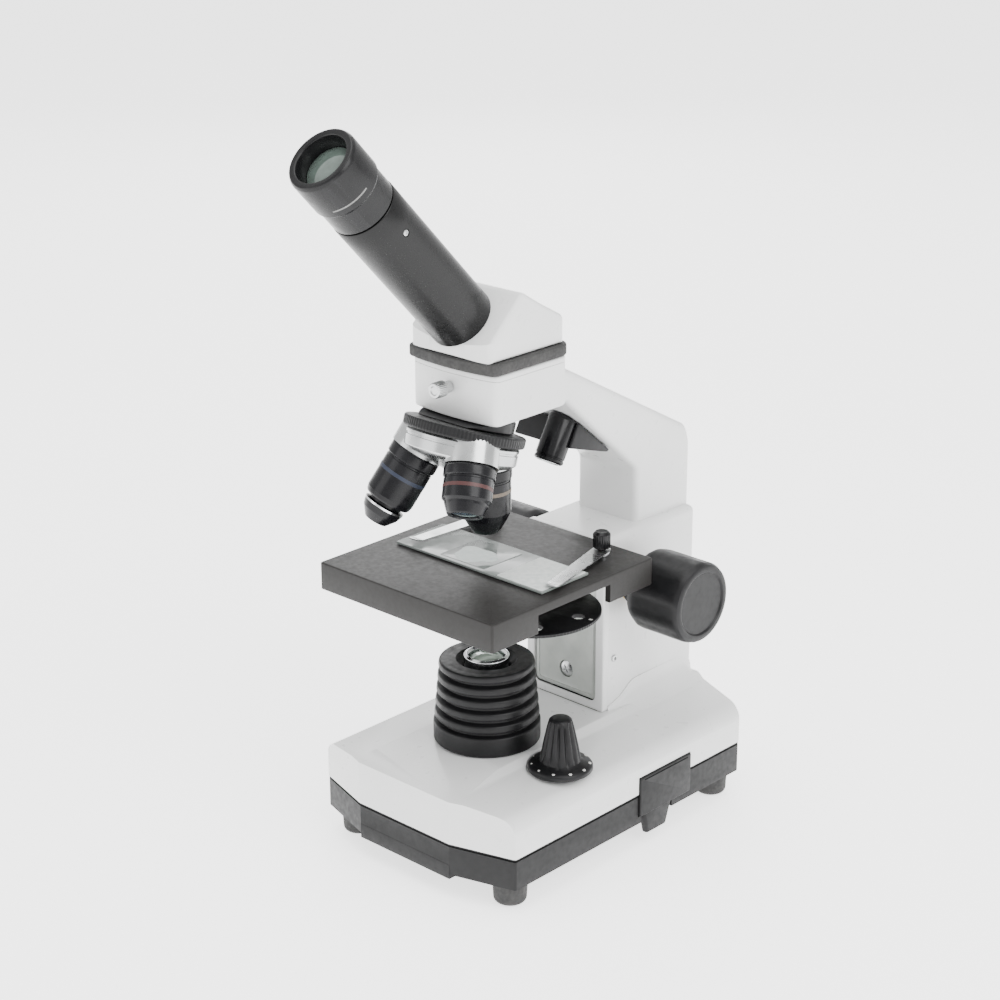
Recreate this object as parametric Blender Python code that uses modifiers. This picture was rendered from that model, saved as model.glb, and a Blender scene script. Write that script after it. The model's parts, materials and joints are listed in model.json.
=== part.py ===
"""Student compound microscope: white stand, inclined monocular head, triple nosepiece,
square stage with clips, ribbed illuminator, brightness dial and battery drawer.

Metres, +Z up. The user sits at -Y and +X is the user's right hand. Shapes are drawn in the
optical frame, whose Z axis is the light path, and the whole stand is carried by one empty
that puts the origin under the middle of its bounding box.
"""

import bmesh
import bpy
from math import atan2, ceil, cos, pi, radians, sin, tan
from mathutils import Matrix, Vector

# ---------------------------------------------------------------- driving dimensions
GAP = 0.0003                     # air between touching pieces

BASE_HALF_WIDTH = 0.0507         # base plan: a rectangle whose two ends bulge in the middle
BASE_FRONT_CORNER_Y = -0.0384
BASE_FRONT_Y = -0.0463
BASE_BACK_CORNER_Y = 0.0960
BASE_BACK_Y = 0.1032
BULGE_HALF_WIDTH = 0.0240
PAN_BOTTOM_Z = 0.0107
PAN_TOP_Z = 0.0233
PAN_WALL = 0.0025
SHELL_BOTTOM_Z = PAN_TOP_Z + GAP
SHOULDER_Z = 0.0365              # where the shell's side turns over into the wing
WING_EDGE = (0.0470, 0.0392)     # (x, z) points of the wing's section
WING_ROOT = (0.0262, 0.0418)
DECK_HALF_WIDTH = 0.0225         # raised middle of the base
DECK_Z = 0.0440
SHELL_WALL = 0.0024
FOOT_X = 0.0410
FOOT_FRONT_Y = -0.0310
FOOT_BACK_Y = 0.0900
FOOT_RADIUS = 0.0062

ARM_BOTTOM_Z = DECK_Z + GAP
COLUMN_FRONT_Y = 0.0452
COLUMN_BACK_Y = 0.1022
COLUMN_HALF_FRONT = 0.0205
COLUMN_HALF_BACK = 0.0200
LEDGE_Z = 0.1173
CHANNEL_HALF_WIDTH = 0.0165
CHANNEL_BACK_Y = 0.0586
CHANNEL_TOP_Z = 0.1152
UPPER_FRONT_Y = 0.0697           # front of the slim upper column
UPPER_HALF_FRONT = 0.0155
UPPER_HALF_BACK = 0.0165
BLOCK_HALF_WIDTH = 0.0215        # head block that holds the nosepiece and the head
BLOCK_FRONT_Y = -0.0185
BLOCK_BACK_Y = 0.0230
BLOCK_BOTTOM_Z = 0.1790
BLOCK_TOP_Z = 0.1982
ELBOW_Y = 0.0225                 # where the sloping underside meets the block
ELBOW_FOOT_Z = 0.1395            # and where it meets the upper column
BACK_SHOULDER_Z = 0.1510
LIGHT_PATH_RADIUS = 0.0080

LAMP_BOTTOM_RADIUS = 0.0209      # ribbed illuminator on the base
LAMP_TOP_RADIUS = 0.0187
LAMP_TOP_Z = 0.0775
LAMP_RIBS = 5
LAMP_LENS_RADIUS = 0.0066

DIAL_X = 0.0365                  # brightness dial
DIAL_Y = 0.0020
DIAL_SKIRT_RADIUS = 0.0125
DIAL_BOTTOM_Z = 0.0415
DIAL_TOP_Z = 0.0630

STAGE_HALF_WIDTH = 0.0450
STAGE_FRONT_Y = -0.0443
STAGE_BACK_Y = 0.0448
STAGE_TOP_Z = 0.1176
STAGE_THICKNESS = 0.0030
SKIRT_DEPTH = 0.0110
SKIRT_WALL = 0.0025
STAGE_HOLE_RADIUS = 0.0100
NOTCH_HALF_LENGTH = 0.0200
BRACKET_BOTTOM_Z = 0.1025
BRACKET_TOP_Z = 0.1062
CARRIAGE_HALF_WIDTH = 0.0162
CARRIAGE_FRONT_Y = 0.0459
CARRIAGE_BACK_Y = 0.0540
CARRIAGE_BOTTOM_Z = 0.0480
CARRIAGE_TOP_Z = 0.1108

DISC_X = 0.0190                  # aperture disc under the stage
DISC_Y = 0.0050
DISC_RADIUS = 0.0265
DISC_BOTTOM_Z = 0.1006
DISC_TOP_Z = 0.1022
APERTURE_RADII = (0.0055, 0.0044, 0.0034, 0.0025, 0.0017, 0.0010)

CLIP_X = 0.0285
CLIP_Y = 0.0340
CLIP_LENGTH = 0.0435
CLIP_WIDTH = 0.0070
CLIP_BOTTOM_Z = 0.1193
CLIP_TOP_Z = 0.1200
CLIP_ANGLE_RIGHT = radians(15)
CLIP_ANGLE_LEFT = radians(-3)
SLIDE_CENTRE = (0.0010, 0.0015)
SLIDE_SIZE = (0.0760, 0.0260)
SLIDE_BOTTOM_Z = STAGE_TOP_Z + GAP
SLIDE_THICKNESS = 0.0011

FOCUS_Y = 0.0623                 # focusing shaft, along X
FOCUS_Z = 0.0962
SHAFT_RADIUS = 0.0025
GEAR_MODULE = 0.0008
PINION_TEETH = 12
PITCH_RADIUS = GEAR_MODULE * PINION_TEETH / 2
TOOTH_OUT = 0.0006               # tooth height outside and inside the pitch line
TOOTH_IN = 0.0009
TOOTH_SHARE = 0.36               # of the pitch that a tooth fills
RACK_BOTTOM_Z = 0.0520
RACK_TOP_Z = 0.1085
KNOB_RADIUS = 0.0163
KNOB_INNER_X = 0.0300
KNOB_OUTER_X = 0.0560
HUB_INNER_X = 0.0226
HUB_RADIUS = 0.0090
BUSH_RADIUS = 0.0033
BUSH_FLANGE_RADIUS = 0.0080

TURRET_TILT = radians(19)        # nosepiece axis from the vertical, leaning forward
TURRET_APEX_Z = 0.2045           # where the objectives' axes cross the nosepiece's
TURRET_RADIUS = 0.0230
RING_NEAR = 0.0320               # distances from the apex along the nosepiece's axis
RING_FAR = 0.0363
PLATE_RADIUS = 0.0215
SEAT = 0.0486                    # distance from the apex along an objective's axis
STUB_RADIUS = 0.0074             # screwed part of an objective, inside the plate
STUB_TOP = 0.0416

TUBE_TILT = radians(44)          # eyepiece tube from the vertical, leaning forward
EYEPIECE_FACE = (-0.0789, 0.2841)  # (y, z) of the middle of the eyepiece's top
EYEPIECE_RADIUS = 0.0130
EYEPIECE_RIM = (EYEPIECE_RADIUS - 0.0005, -0.0006)  # outer corner of the rim: radius, z
EYEPIECE_HEAD = 0.0270
EYEPIECE_SLEEVE_END = 0.0520
SLEEVE_RADIUS = 0.0114
TUBE_RADIUS = 0.0125
TUBE_BORE = 0.0117
TUBE_END = 0.0990
SET_SCREW_ALONG = 0.0395          # distance down the tube from the eyepiece's face
GASKET_HALF = 0.0222
GASKET_CENTRE_Y = 0.0014
GASKET_BOTTOM_Z = 0.1985
GASKET_TOP_Z = 0.2029
HEAD_HALF_WIDTH = 0.0205
HEAD_BOTTOM_Z = GASKET_TOP_Z + GAP

UPPER_LAMP_TILT = radians(30)
UPPER_LAMP_X = 0.0075
UPPER_LAMP_FOOT = (0.0264, 0.1521)  # (y, z) of its lower end
UPPER_LAMP_RADIUS = 0.0058
UPPER_LAMP_REACH = 0.0260        # length before its top is cut to the arm's slope
LAMP_BRACKET_HALF = 0.0145
LAMP_BRACKET_Y = (0.0364, 0.0545)   # where the bracket starts and ends along the slope
LAMP_BRACKET_LOW = ((0.0533, 0.1508), (0.0312, 0.1577))  # (y, z) corners of its lower face
SLOPE_GAP = 0.0006               # air between the arm's slope and the lamp's bracket

DRAWER_FRONT_Y = 0.0324
DRAWER_BACK_Y = 0.0636
DRAWER_TOP_Z = 0.0305
DRAWER_BOTTOM_Z = 0.0140
DRAWER_INNER_X = -0.0055
LIP_INNER_X = BASE_HALF_WIDTH - 0.0026   # finger lip under the drawer's front
LIP_FRONT_Y = DRAWER_FRONT_Y + 0.0020
LIP_BACK_Y = DRAWER_BACK_Y - 0.0110
LIP_BOTTOM_Z = 0.0045
CELL_RADIUS = 0.0071
CELL_LENGTH = 0.0500

# The bounding box reaches from the eyepiece's front rim to the back of the base.
BOX_FRONT_Y = EYEPIECE_FACE[0] - EYEPIECE_RIM[0] * cos(TUBE_TILT) - EYEPIECE_RIM[1] * sin(TUBE_TILT)
OPTICAL_Y = -(BOX_FRONT_Y + BASE_BACK_Y) / 2

# ---------------------------------------------------------------- materials
FINISHES = {
    "white_paint": ((0.86, 0.87, 0.87), 0.35, 0.0),
    "black_plastic": ((0.020, 0.020, 0.022), 0.38, 0.0),
    "black_paint": ((0.035, 0.034, 0.034), 0.55, 0.0),
    "rubber": ((0.018, 0.018, 0.018), 0.80, 0.0),
    "chrome": ((0.75, 0.76, 0.78), 0.12, 1.0),
    "steel": ((0.55, 0.56, 0.56), 0.35, 1.0),
    "grey_casting": ((0.50, 0.52, 0.50), 0.45, 0.4),
    "brass": ((0.70, 0.52, 0.22), 0.30, 1.0),
    "glass": ((0.80, 0.92, 0.88), 0.05, 0.0),
    "circuit_board": ((0.04, 0.22, 0.08), 0.50, 0.0),
    "cell_wrap": ((0.30, 0.34, 0.38), 0.40, 0.3),
}


def finish(name):
    """The named material, made on first use."""
    material = bpy.data.materials.get(name)
    if material:
        return material
    colour, roughness, metallic = FINISHES[name]
    material = bpy.data.materials.new(name)
    material.use_nodes = True
    shader = material.node_tree.nodes["Principled BSDF"]
    shader.inputs["Base Color"].default_value = (*colour, 1.0)
    shader.inputs["Roughness"].default_value = roughness
    shader.inputs["Metallic"].default_value = metallic
    return material


# ---------------------------------------------------------------- scene helpers
def clear_scene():
    for item in list(bpy.data.objects):
        bpy.data.objects.remove(item, do_unlink=True)


def new_collection(name):
    collection = bpy.data.collections.new(name)
    bpy.context.scene.collection.children.link(collection)
    return collection


clear_scene()
PARTS = new_collection("microscope")
CUTTERS = new_collection("cutters")


def empty(name, parent=None, location=(0, 0, 0), rotation=(0, 0, 0)):
    """A frame for a joint or for the whole stand."""
    frame = bpy.data.objects.new(name, None)
    frame.empty_display_size = 0.01
    frame.location = location
    frame.rotation_euler = rotation
    frame.parent = parent
    PARTS.objects.link(frame)
    return frame


def as_part(piece, name, parent, material, smooth=True):
    """Finish a modelled shape and give it its name, its frame and its material."""
    piece = bake(piece)
    piece.name = name
    piece.data.name = name
    piece.parent = parent
    piece.data.materials.clear()
    piece.data.materials.append(finish(material))
    if smooth:
        piece.data.shade_smooth()
        piece.data.set_sharp_from_angle(angle=radians(35))
    return piece


def as_cutter(shape):
    """Move a shape to the cutters, where the build leaves it out."""
    for collection in list(shape.users_collection):
        collection.objects.unlink(shape)
    CUTTERS.objects.link(shape)
    shape.hide_render = True
    shape.display_type = "WIRE"
    return shape


def from_bmesh(bm, name):
    mesh = bpy.data.meshes.new(name)
    bm.to_mesh(mesh)
    bm.free()
    piece = bpy.data.objects.new(name, mesh)
    PARTS.objects.link(piece)
    return piece


def bake(piece):
    """Replace an object by its evaluated mesh, welded, and remove the cutters it used."""
    used = [modifier.object for modifier in piece.modifiers if modifier.type == "BOOLEAN"]
    bpy.context.view_layer.update()
    graph = bpy.context.evaluated_depsgraph_get()
    mesh = bpy.data.meshes.new_from_object(piece.evaluated_get(graph))
    bm = bmesh.new()
    bm.from_mesh(mesh)
    bmesh.ops.remove_doubles(bm, verts=bm.verts, dist=0.000002)
    bmesh.ops.recalc_face_normals(bm, faces=bm.faces)
    bm.to_mesh(mesh)
    bm.free()
    solid = bpy.data.objects.new(piece.name, mesh)
    solid.matrix_world = piece.matrix_world
    PARTS.objects.link(solid)
    for item in (piece, *used):
        bpy.data.objects.remove(item, do_unlink=True)
    return solid


def boolean(piece, other, operation):
    modifier = piece.modifiers.new(operation.lower(), "BOOLEAN")
    modifier.operation = operation
    modifier.solver = "EXACT"
    modifier.object = as_cutter(other)
    return piece


def cut(piece, *cutters):
    for cutter in cutters:
        boolean(piece, cutter, "DIFFERENCE")
    return piece


def join(piece, *others):
    for other in others:
        boolean(piece, other, "UNION")
    return piece


def bevel(piece, width, segments=2, angle=30):
    modifier = piece.modifiers.new("edge", "BEVEL")
    modifier.width = width
    modifier.segments = segments
    modifier.limit_method = "ANGLE"
    modifier.angle_limit = radians(angle)
    modifier.harden_normals = False
    return piece


# ---------------------------------------------------------------- shape helpers
def box(low, high, name="box"):
    """A box between two corners."""
    bm = bmesh.new()
    size = [b - a for a, b in zip(low, high)]
    middle = [(a + b) / 2 for a, b in zip(low, high)]
    place = Matrix.Translation(middle) @ Matrix.Diagonal((*size, 1))
    bmesh.ops.create_cube(bm, size=1.0, matrix=place)
    return from_bmesh(bm, name)


def upright_edges(bm):
    """The edges of a mesh that run along Z."""
    chosen = []
    for edge in bm.edges:
        a, b = (vert.co for vert in edge.verts)
        if abs(a.x - b.x) + abs(a.y - b.y) < 1e-7:
            chosen.append(edge)
    return chosen


def rounded_box(low, high, radius, segments=4, name="box"):
    """A box whose upright edges are rounded."""
    piece = box(low, high, name)
    bm = bmesh.new()
    bm.from_mesh(piece.data)
    bmesh.ops.bevel(bm, geom=upright_edges(bm), offset=radius, segments=segments, affect="EDGES")
    bm.to_mesh(piece.data)
    bm.free()
    return piece


def outline(points, thickness, name="outline"):
    """A flat outline in XY, thickened evenly about Z = 0."""
    curve = bpy.data.curves.new(name, "CURVE")
    curve.dimensions = "2D"
    curve.fill_mode = "BOTH"
    curve.extrude = thickness / 2
    spline = curve.splines.new("POLY")
    spline.points.add(len(points) - 1)
    for point, (x, y) in zip(spline.points, points):
        point.co = (x, y, 0, 1)
    spline.use_cyclic_u = True
    piece = bpy.data.objects.new(name, curve)
    PARTS.objects.link(piece)
    return bake(piece)


def reframe(piece, matrix):
    piece.data.transform(matrix)
    piece.data.update()
    return piece


def plan(points, z0, z1):
    """An outline in X and Y, from z0 to z1."""
    return reframe(outline(points, z1 - z0), Matrix.Translation((0, 0, (z0 + z1) / 2)))


def section_x(points, x0, x1):
    """An outline in Y and Z, from x0 to x1."""
    turn = Matrix(((0, 0, 1, 0), (1, 0, 0, 0), (0, 1, 0, 0), (0, 0, 0, 1)))
    return reframe(outline(points, x1 - x0), Matrix.Translation(((x0 + x1) / 2, 0, 0)) @ turn)


def section_y(points, y0, y1):
    """An outline in X and Z, from y0 to y1."""
    turn = Matrix(((1, 0, 0, 0), (0, 0, -1, 0), (0, 1, 0, 0), (0, 0, 0, 1)))
    return reframe(outline(points, y1 - y0), Matrix.Translation((0, (y0 + y1) / 2, 0)) @ turn)


def turned(profile, steps=24, closed=False, name="turned"):
    """A turned solid about Z. The profile is (radius, z), down the outer side from the top."""
    mesh = bpy.data.meshes.new(name)
    verts = [(radius, 0, z) for radius, z in profile]
    edges = [(i, i + 1) for i in range(len(verts) - 1)]
    if closed:
        edges.append((len(verts) - 1, 0))
    mesh.from_pydata(verts, edges, [])
    piece = bpy.data.objects.new(name, mesh)
    PARTS.objects.link(piece)
    screw = piece.modifiers.new("turn", "SCREW")
    screw.axis = "Z"
    screw.steps = steps
    screw.render_steps = steps
    screw.use_merge_vertices = True
    screw.merge_threshold = 0.00001
    return bake(piece)


def rod(radius, z0, z1, steps=16, name="rod"):
    return turned([(0, z1), (radius, z1), (radius, z0), (0, z0)], steps, name=name)


def tube(outer, inner, z0, z1, steps=32, name="tube"):
    profile = [(outer, z1), (outer, z0), (inner, z0), (inner, z1)]
    return turned(profile, steps, closed=True, name=name)


def moved(piece, x=0.0, y=0.0, z=0.0):
    return reframe(piece, Matrix.Translation((x, y, z)))


ALONG_X = Matrix.Rotation(radians(90), 4, "Y")     # turns +Z to +X
ALONG_Y = Matrix.Rotation(radians(-90), 4, "X")    # turns +Z to +Y


def along_x(piece, x=0.0, y=0.0, z=0.0):
    return reframe(piece, Matrix.Translation((x, y, z)) @ ALONG_X)


# ---------------------------------------------------------------- frames of the stand
STAND = empty("stand_frame", location=(0, OPTICAL_Y, 0))
HEAD = empty("head_swivel_frame", STAND)
STAGE = empty("stage_lift_frame", STAND)
FOCUS = empty("focus_turn_frame", STAND, (0, FOCUS_Y, FOCUS_Z))
DIAL = empty("dial_turn_frame", STAND, (DIAL_X, DIAL_Y, 0))
DRAWER = empty("drawer_slide_frame", STAND)
TURRET = empty("turret_turn_frame", STAND, (0, 0, TURRET_APEX_Z), (-TURRET_TILT, 0, 0))
DISC = empty("disc_turn_frame", STAGE, (DISC_X, DISC_Y, 0))
SLIDE = empty("slide_frame", STAGE)
TUBE_FRAME = empty("tube_frame", HEAD, (0, *EYEPIECE_FACE), (TUBE_TILT, 0, 0))
LAMP_FRAME = empty("upper_lamp_frame", STAND, (UPPER_LAMP_X, *UPPER_LAMP_FOOT),
                   (-UPPER_LAMP_TILT, 0, 0))


def turret_matrix(turn):
    """The frame of an objective, inside the nosepiece's frame."""
    return Matrix.Rotation(turn, 4, "Z") @ Matrix.Rotation(TURRET_TILT, 4, "X")


def place_of(frame):
    """A frame's place in the stand."""
    bpy.context.view_layer.update()
    return STAND.matrix_world.inverted() @ frame.matrix_world


# ---------------------------------------------------------------- base
def base_plan(inset):
    """Corners of the base's plan, moved in by an inset."""
    half = BASE_HALF_WIDTH - inset
    front_corner = BASE_FRONT_CORNER_Y + inset
    front = BASE_FRONT_Y + inset
    back_corner = BASE_BACK_CORNER_Y - inset
    back = BASE_BACK_Y - inset
    bulge = BULGE_HALF_WIDTH
    right = [(bulge, front), (half, front_corner), (half, back_corner), (bulge, back)]
    left = [(-x, y) for x, y in reversed(right)]
    return right + left


def shell_section(inset, floor):
    """Half section of the shell in X and Z, mirrored, moved in by an inset."""
    side = BASE_HALF_WIDTH - inset
    right = [
        (side, floor),
        (side, SHOULDER_Z - inset),
        (WING_EDGE[0] - inset, WING_EDGE[1] - inset),
        (WING_ROOT[0] - inset / 2, WING_ROOT[1] - inset),
        (DECK_HALF_WIDTH - inset / 2, DECK_Z - inset),
    ]
    left = [(-x, z) for x, z in reversed(right)]
    return right + left


def make_base_shell():
    far = 0.2
    shell = plan(base_plan(0), SHELL_BOTTOM_Z, 0.06)
    boolean(shell, section_y(shell_section(0, -0.01), -far, far), "INTERSECT")
    shell = bevel(bake(shell), 0.0022, 2, 25)
    shell = bake(shell)
    hollow = plan(base_plan(SHELL_WALL), 0.0, 0.06)
    boolean(hollow, section_y(shell_section(SHELL_WALL, -0.01), -far, far), "INTERSECT")
    slot = box((-0.0172, 0.0446, 0.03), (0.0172, 0.0590, 0.06))
    wire_hole = rod(0.0060, 0.03, 0.06)
    dial_seat = moved(rod(DIAL_SKIRT_RADIUS + 0.0007, DIAL_BOTTOM_Z - 0.0004, 0.06, 32), DIAL_X, DIAL_Y)
    dial_hole = moved(rod(0.0036, 0.03, 0.06), DIAL_X, DIAL_Y)
    notch = box(
        (BASE_HALF_WIDTH - 0.008, DRAWER_FRONT_Y - GAP, 0.01),
        (BASE_HALF_WIDTH + 0.008, DRAWER_BACK_Y + GAP, DRAWER_TOP_Z + GAP),
    )
    cut(shell, bake(hollow), slot, wire_hole, dial_seat, dial_hole, notch)
    as_part(shell, "base_shell", STAND, "white_paint")


def make_base_pan():
    pan = plan(base_plan(0.0002), PAN_BOTTOM_Z, PAN_TOP_Z)
    hollow = plan(base_plan(PAN_WALL), PAN_BOTTOM_Z + PAN_WALL, 0.05)
    doorway = box(
        (BASE_HALF_WIDTH - 0.008, DRAWER_FRONT_Y - GAP, DRAWER_BOTTOM_Z - GAP),
        (BASE_HALF_WIDTH + 0.008, DRAWER_BACK_Y + GAP, 0.05),
    )
    lip_notch = box(
        (LIP_INNER_X - GAP, LIP_FRONT_Y - GAP, 0.0),
        (BASE_HALF_WIDTH + 0.008, LIP_BACK_Y + GAP, DRAWER_BOTTOM_Z),
    )
    cut(pan, hollow, doorway, lip_notch)
    as_part(pan, "base_pan", STAND, "black_plastic")


def make_feet():
    corners = {
        "foot_front_left": (-FOOT_X, FOOT_FRONT_Y),
        "foot_front_right": (FOOT_X, FOOT_FRONT_Y),
        "foot_rear_left": (-FOOT_X, FOOT_BACK_Y),
        "foot_rear_right": (FOOT_X, FOOT_BACK_Y),
    }
    top = PAN_BOTTOM_Z - GAP
    rim = FOOT_RADIUS
    profile = [(0, top), (rim + 0.0008, top), (rim, 0.0025), (rim - 0.001, 0.0008),
               (rim - 0.002, 0), (0, 0)]
    for name, (x, y) in corners.items():
        as_part(moved(turned(profile, 20), x, y), name, STAND, "rubber")


def make_driver_board():
    board = box((-0.0430, -0.0050, 0.0160), (-0.0150, 0.0350, 0.0176))
    as_part(board, "driver_board", STAND, "circuit_board", smooth=False)


# ---------------------------------------------------------------- illuminator
def make_illuminator():
    bottom = DECK_Z + GAP
    band = 0.0080                    # plain band at the foot
    pitch = (LAMP_TOP_Z - bottom - band) / LAMP_RIBS
    groove = 0.0016
    outer = [(0.0175, LAMP_TOP_Z)]
    for rib in range(LAMP_RIBS):
        top = LAMP_TOP_Z - rib * pitch
        share = rib / LAMP_RIBS
        radius = LAMP_TOP_RADIUS + (LAMP_BOTTOM_RADIUS - LAMP_TOP_RADIUS) * share
        outer.append((radius, top - 0.0008))
        outer.append((radius, top - pitch + 0.0022))
        outer.append((radius - groove, top - pitch + 0.0012))
        outer.append((radius - groove, top - pitch + 0.0002))
    outer.append((LAMP_BOTTOM_RADIUS, bottom + band - 0.0008))
    outer.append((LAMP_BOTTOM_RADIUS, bottom))
    inner = [(0.0160, bottom), (0.0150, 0.0720), (0.0092, 0.0735), (0.0092, LAMP_TOP_Z - 0.0015)]
    as_part(turned(outer + inner, 24, closed=True), "illuminator_body", STAND, "black_plastic")

    ring = [(0.0089, 0.0792), (0.0089, 0.0745), (0.0069, 0.0745), (0.0069, 0.0785), (0.0078, 0.0792)]
    as_part(turned(ring, 24, closed=True), "illuminator_lens_ring", STAND, "chrome")

    lens = [(0, 0.0789), (0.0025, 0.0786), (0.0048, 0.0779), (LAMP_LENS_RADIUS, 0.0768),
            (LAMP_LENS_RADIUS, 0.0750), (0, 0.0750)]
    as_part(turned(lens, 24), "illuminator_lens", STAND, "glass")

    led = [(0, 0.0500), (0.0012, 0.0498), (0.0022, 0.0488), (0.0025, 0.0472), (0.0140, 0.0472),
           (0.0140, 0.0456), (0, 0.0456)]
    as_part(turned(led, 24), "led_board", STAND, "circuit_board")


# ---------------------------------------------------------------- brightness dial
def make_dial():
    knob = [(0, DIAL_TOP_Z), (0.0034, DIAL_TOP_Z), (0.0040, DIAL_TOP_Z - 0.0006), (0.0076, 0.0462),
            (0.0112, 0.0450), (DIAL_SKIRT_RADIUS, 0.0440), (DIAL_SKIRT_RADIUS, DIAL_BOTTOM_Z),
            (0.0033, DIAL_BOTTOM_Z), (0.0033, 0.0560), (0, 0.0560)]
    as_part(turned(knob, 24), "dimmer_knob", DIAL, "black_plastic")
    as_part(rod(0.0030, 0.0363, 0.0555, 16), "dimmer_shaft", DIAL, "steel")
    pot = moved(turned([(0, 0.0360), (0.0080, 0.0360), (0.0080, 0.0270), (0, 0.0270)], 24), DIAL_X, DIAL_Y)
    as_part(pot, "dimmer_potentiometer", STAND, "steel")


# ---------------------------------------------------------------- battery drawer
def make_drawer():
    outer_x = BASE_HALF_WIDTH + 0.0008
    low = DRAWER_BOTTOM_Z
    wall = 0.0009
    tray = box((DRAWER_INNER_X, DRAWER_FRONT_Y, low), (BASE_HALF_WIDTH - 0.0030, DRAWER_BACK_Y, 0.0290))
    pocket = box((DRAWER_INNER_X + 0.0010, DRAWER_FRONT_Y + wall, low + wall),
                 (BASE_HALF_WIDTH - 0.0042, DRAWER_BACK_Y - wall, 0.04))
    front = box((BASE_HALF_WIDTH - 0.0032, DRAWER_FRONT_Y, low - 0.0001),
                (outer_x, DRAWER_BACK_Y, DRAWER_TOP_Z))
    lip = box((LIP_INNER_X, LIP_FRONT_Y, LIP_BOTTOM_Z), (outer_x - 0.0001, LIP_BACK_Y, low + 0.0020))
    cut(tray, pocket)
    join(tray, front, lip)
    as_part(tray, "battery_drawer", DRAWER, "black_plastic", smooth=False)

    x0 = DRAWER_INNER_X + 0.0010 + GAP
    middle = (DRAWER_FRONT_Y + DRAWER_BACK_Y) / 2
    z = low + wall + GAP + CELL_RADIUS
    nub = 0.0025
    end = CELL_LENGTH - nub
    profile = [(0, CELL_LENGTH), (nub, CELL_LENGTH), (nub, end), (CELL_RADIUS, end),
               (CELL_RADIUS, 0), (0, 0)]
    for number, side in enumerate((-1, 1), start=1):
        cell = along_x(turned(profile, 20), x0, middle + side * (CELL_RADIUS + GAP / 2), z)
        as_part(cell, f"battery_cell_{number}", DRAWER, "cell_wrap")


# ---------------------------------------------------------------- arm
def half_width(y):
    """Half width of the arm's web at a depth y."""
    if y <= ELBOW_Y + 0.001:
        return BLOCK_HALF_WIDTH - 0.0007
    if y <= UPPER_FRONT_Y:
        share = (y - ELBOW_Y) / (UPPER_FRONT_Y - ELBOW_Y)
        return BLOCK_HALF_WIDTH - 0.0007 + (UPPER_HALF_FRONT - BLOCK_HALF_WIDTH + 0.0007) * share
    return UPPER_HALF_FRONT + (UPPER_HALF_BACK - UPPER_HALF_FRONT) * (y - UPPER_FRONT_Y) / 0.0325


def make_arm():
    back = COLUMN_BACK_Y
    web_outline = [
        (0.0050, BLOCK_TOP_Z - 0.0020),
        (BLOCK_BACK_Y, 0.1925),
        (back - 0.0030, BACK_SHOULDER_Z),
        (back - 0.0006, BACK_SHOULDER_Z - 0.0022),
        (back, BACK_SHOULDER_Z - 0.0050),
        (back, ARM_BOTTOM_Z + 0.0100),
        (UPPER_FRONT_Y, ARM_BOTTOM_Z + 0.0100),
        (UPPER_FRONT_Y, ELBOW_FOOT_Z),
        (ELBOW_Y, BLOCK_BOTTOM_Z + 0.0001),
        (0.0050, BLOCK_BOTTOM_Z + 0.0001),
    ]
    web = section_x(web_outline, -1, 1)
    for vert in web.data.vertices:
        vert.co.x *= half_width(vert.co.y)
    bevel(web, 0.0020, 2, 50)
    web = bake(web)

    block = rounded_box((-BLOCK_HALF_WIDTH, BLOCK_FRONT_Y, BLOCK_BOTTOM_Z),
                        (BLOCK_HALF_WIDTH, BLOCK_BACK_Y, BLOCK_TOP_Z), 0.0070, 4)
    front, rear = COLUMN_HALF_FRONT, COLUMN_HALF_BACK
    column_plan = [(front, COLUMN_FRONT_Y), (rear, back + 0.0001),
                   (-rear, back + 0.0001), (-front, COLUMN_FRONT_Y)]
    column = plan(column_plan, ARM_BOTTOM_Z, LEDGE_Z)
    bevel(column, 0.0020, 2, 50)
    column = bake(column)
    foot_plan = [(0.0225, 0.0620), (0.0225, back - 0.0010), (-0.0225, back - 0.0010), (-0.0225, 0.0620)]
    foot = plan(foot_plan, ARM_BOTTOM_Z + 0.0001, ARM_BOTTOM_Z + 0.0060)
    bevel(foot, 0.0020, 2, 50)
    arm = join(block, web, column, bake(foot))
    arm = bake(arm)

    channel = box((-CHANNEL_HALF_WIDTH, 0.04, 0.03), (CHANNEL_HALF_WIDTH, CHANNEL_BACK_Y, CHANNEL_TOP_Z))
    pocket = box((-0.0070, 0.05, FOCUS_Z - 0.0064), (0.0070, FOCUS_Y + 0.0064, FOCUS_Z + 0.0064))
    shaft_hole = along_x(rod(SHAFT_RADIUS + 0.0002, -0.04, 0.04), 0, FOCUS_Y, FOCUS_Z)
    bush_holes = [along_x(rod(BUSH_RADIUS + GAP, 0.0115, 0.04), 0, FOCUS_Y, FOCUS_Z),
                  along_x(rod(BUSH_RADIUS + GAP, -0.04, -0.0115), 0, FOCUS_Y, FOCUS_Z)]
    light_path = rod(LIGHT_PATH_RADIUS, 0.17, 0.21)
    screw_hole = reframe(rod(0.0017, -0.05, -0.0060), Matrix.Translation((0, 0, 0.1910)) @ ALONG_Y)
    cut(arm, channel, pocket, shaft_hole, *bush_holes, light_path, screw_hole)
    as_part(arm, "arm", STAND, "white_paint")


def make_lock_screw():
    head = [(0, 0.0085), (0.0024, 0.0085), (0.0030, 0.0079), (0.0030, GAP), (0.0014, GAP),
            (0.0014, -0.0100), (0, -0.0100)]
    turn = Matrix.Translation((0, BLOCK_FRONT_Y, 0.1910)) @ Matrix.Rotation(radians(90), 4, "X")
    as_part(reframe(turned(head, 20), turn), "head_lock_screw", STAND, "chrome")


def make_guides():
    for side, word in ((-1, "left"), (1, "right")):
        ends = sorted((side * 0.0062, side * 0.0160))
        rail = box((ends[0], CARRIAGE_BACK_Y + GAP, 0.0460), (ends[1], CHANNEL_BACK_Y - GAP, 0.1145))
        as_part(rail, f"guide_rail_{word}", STAND, "steel", smooth=False)


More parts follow.
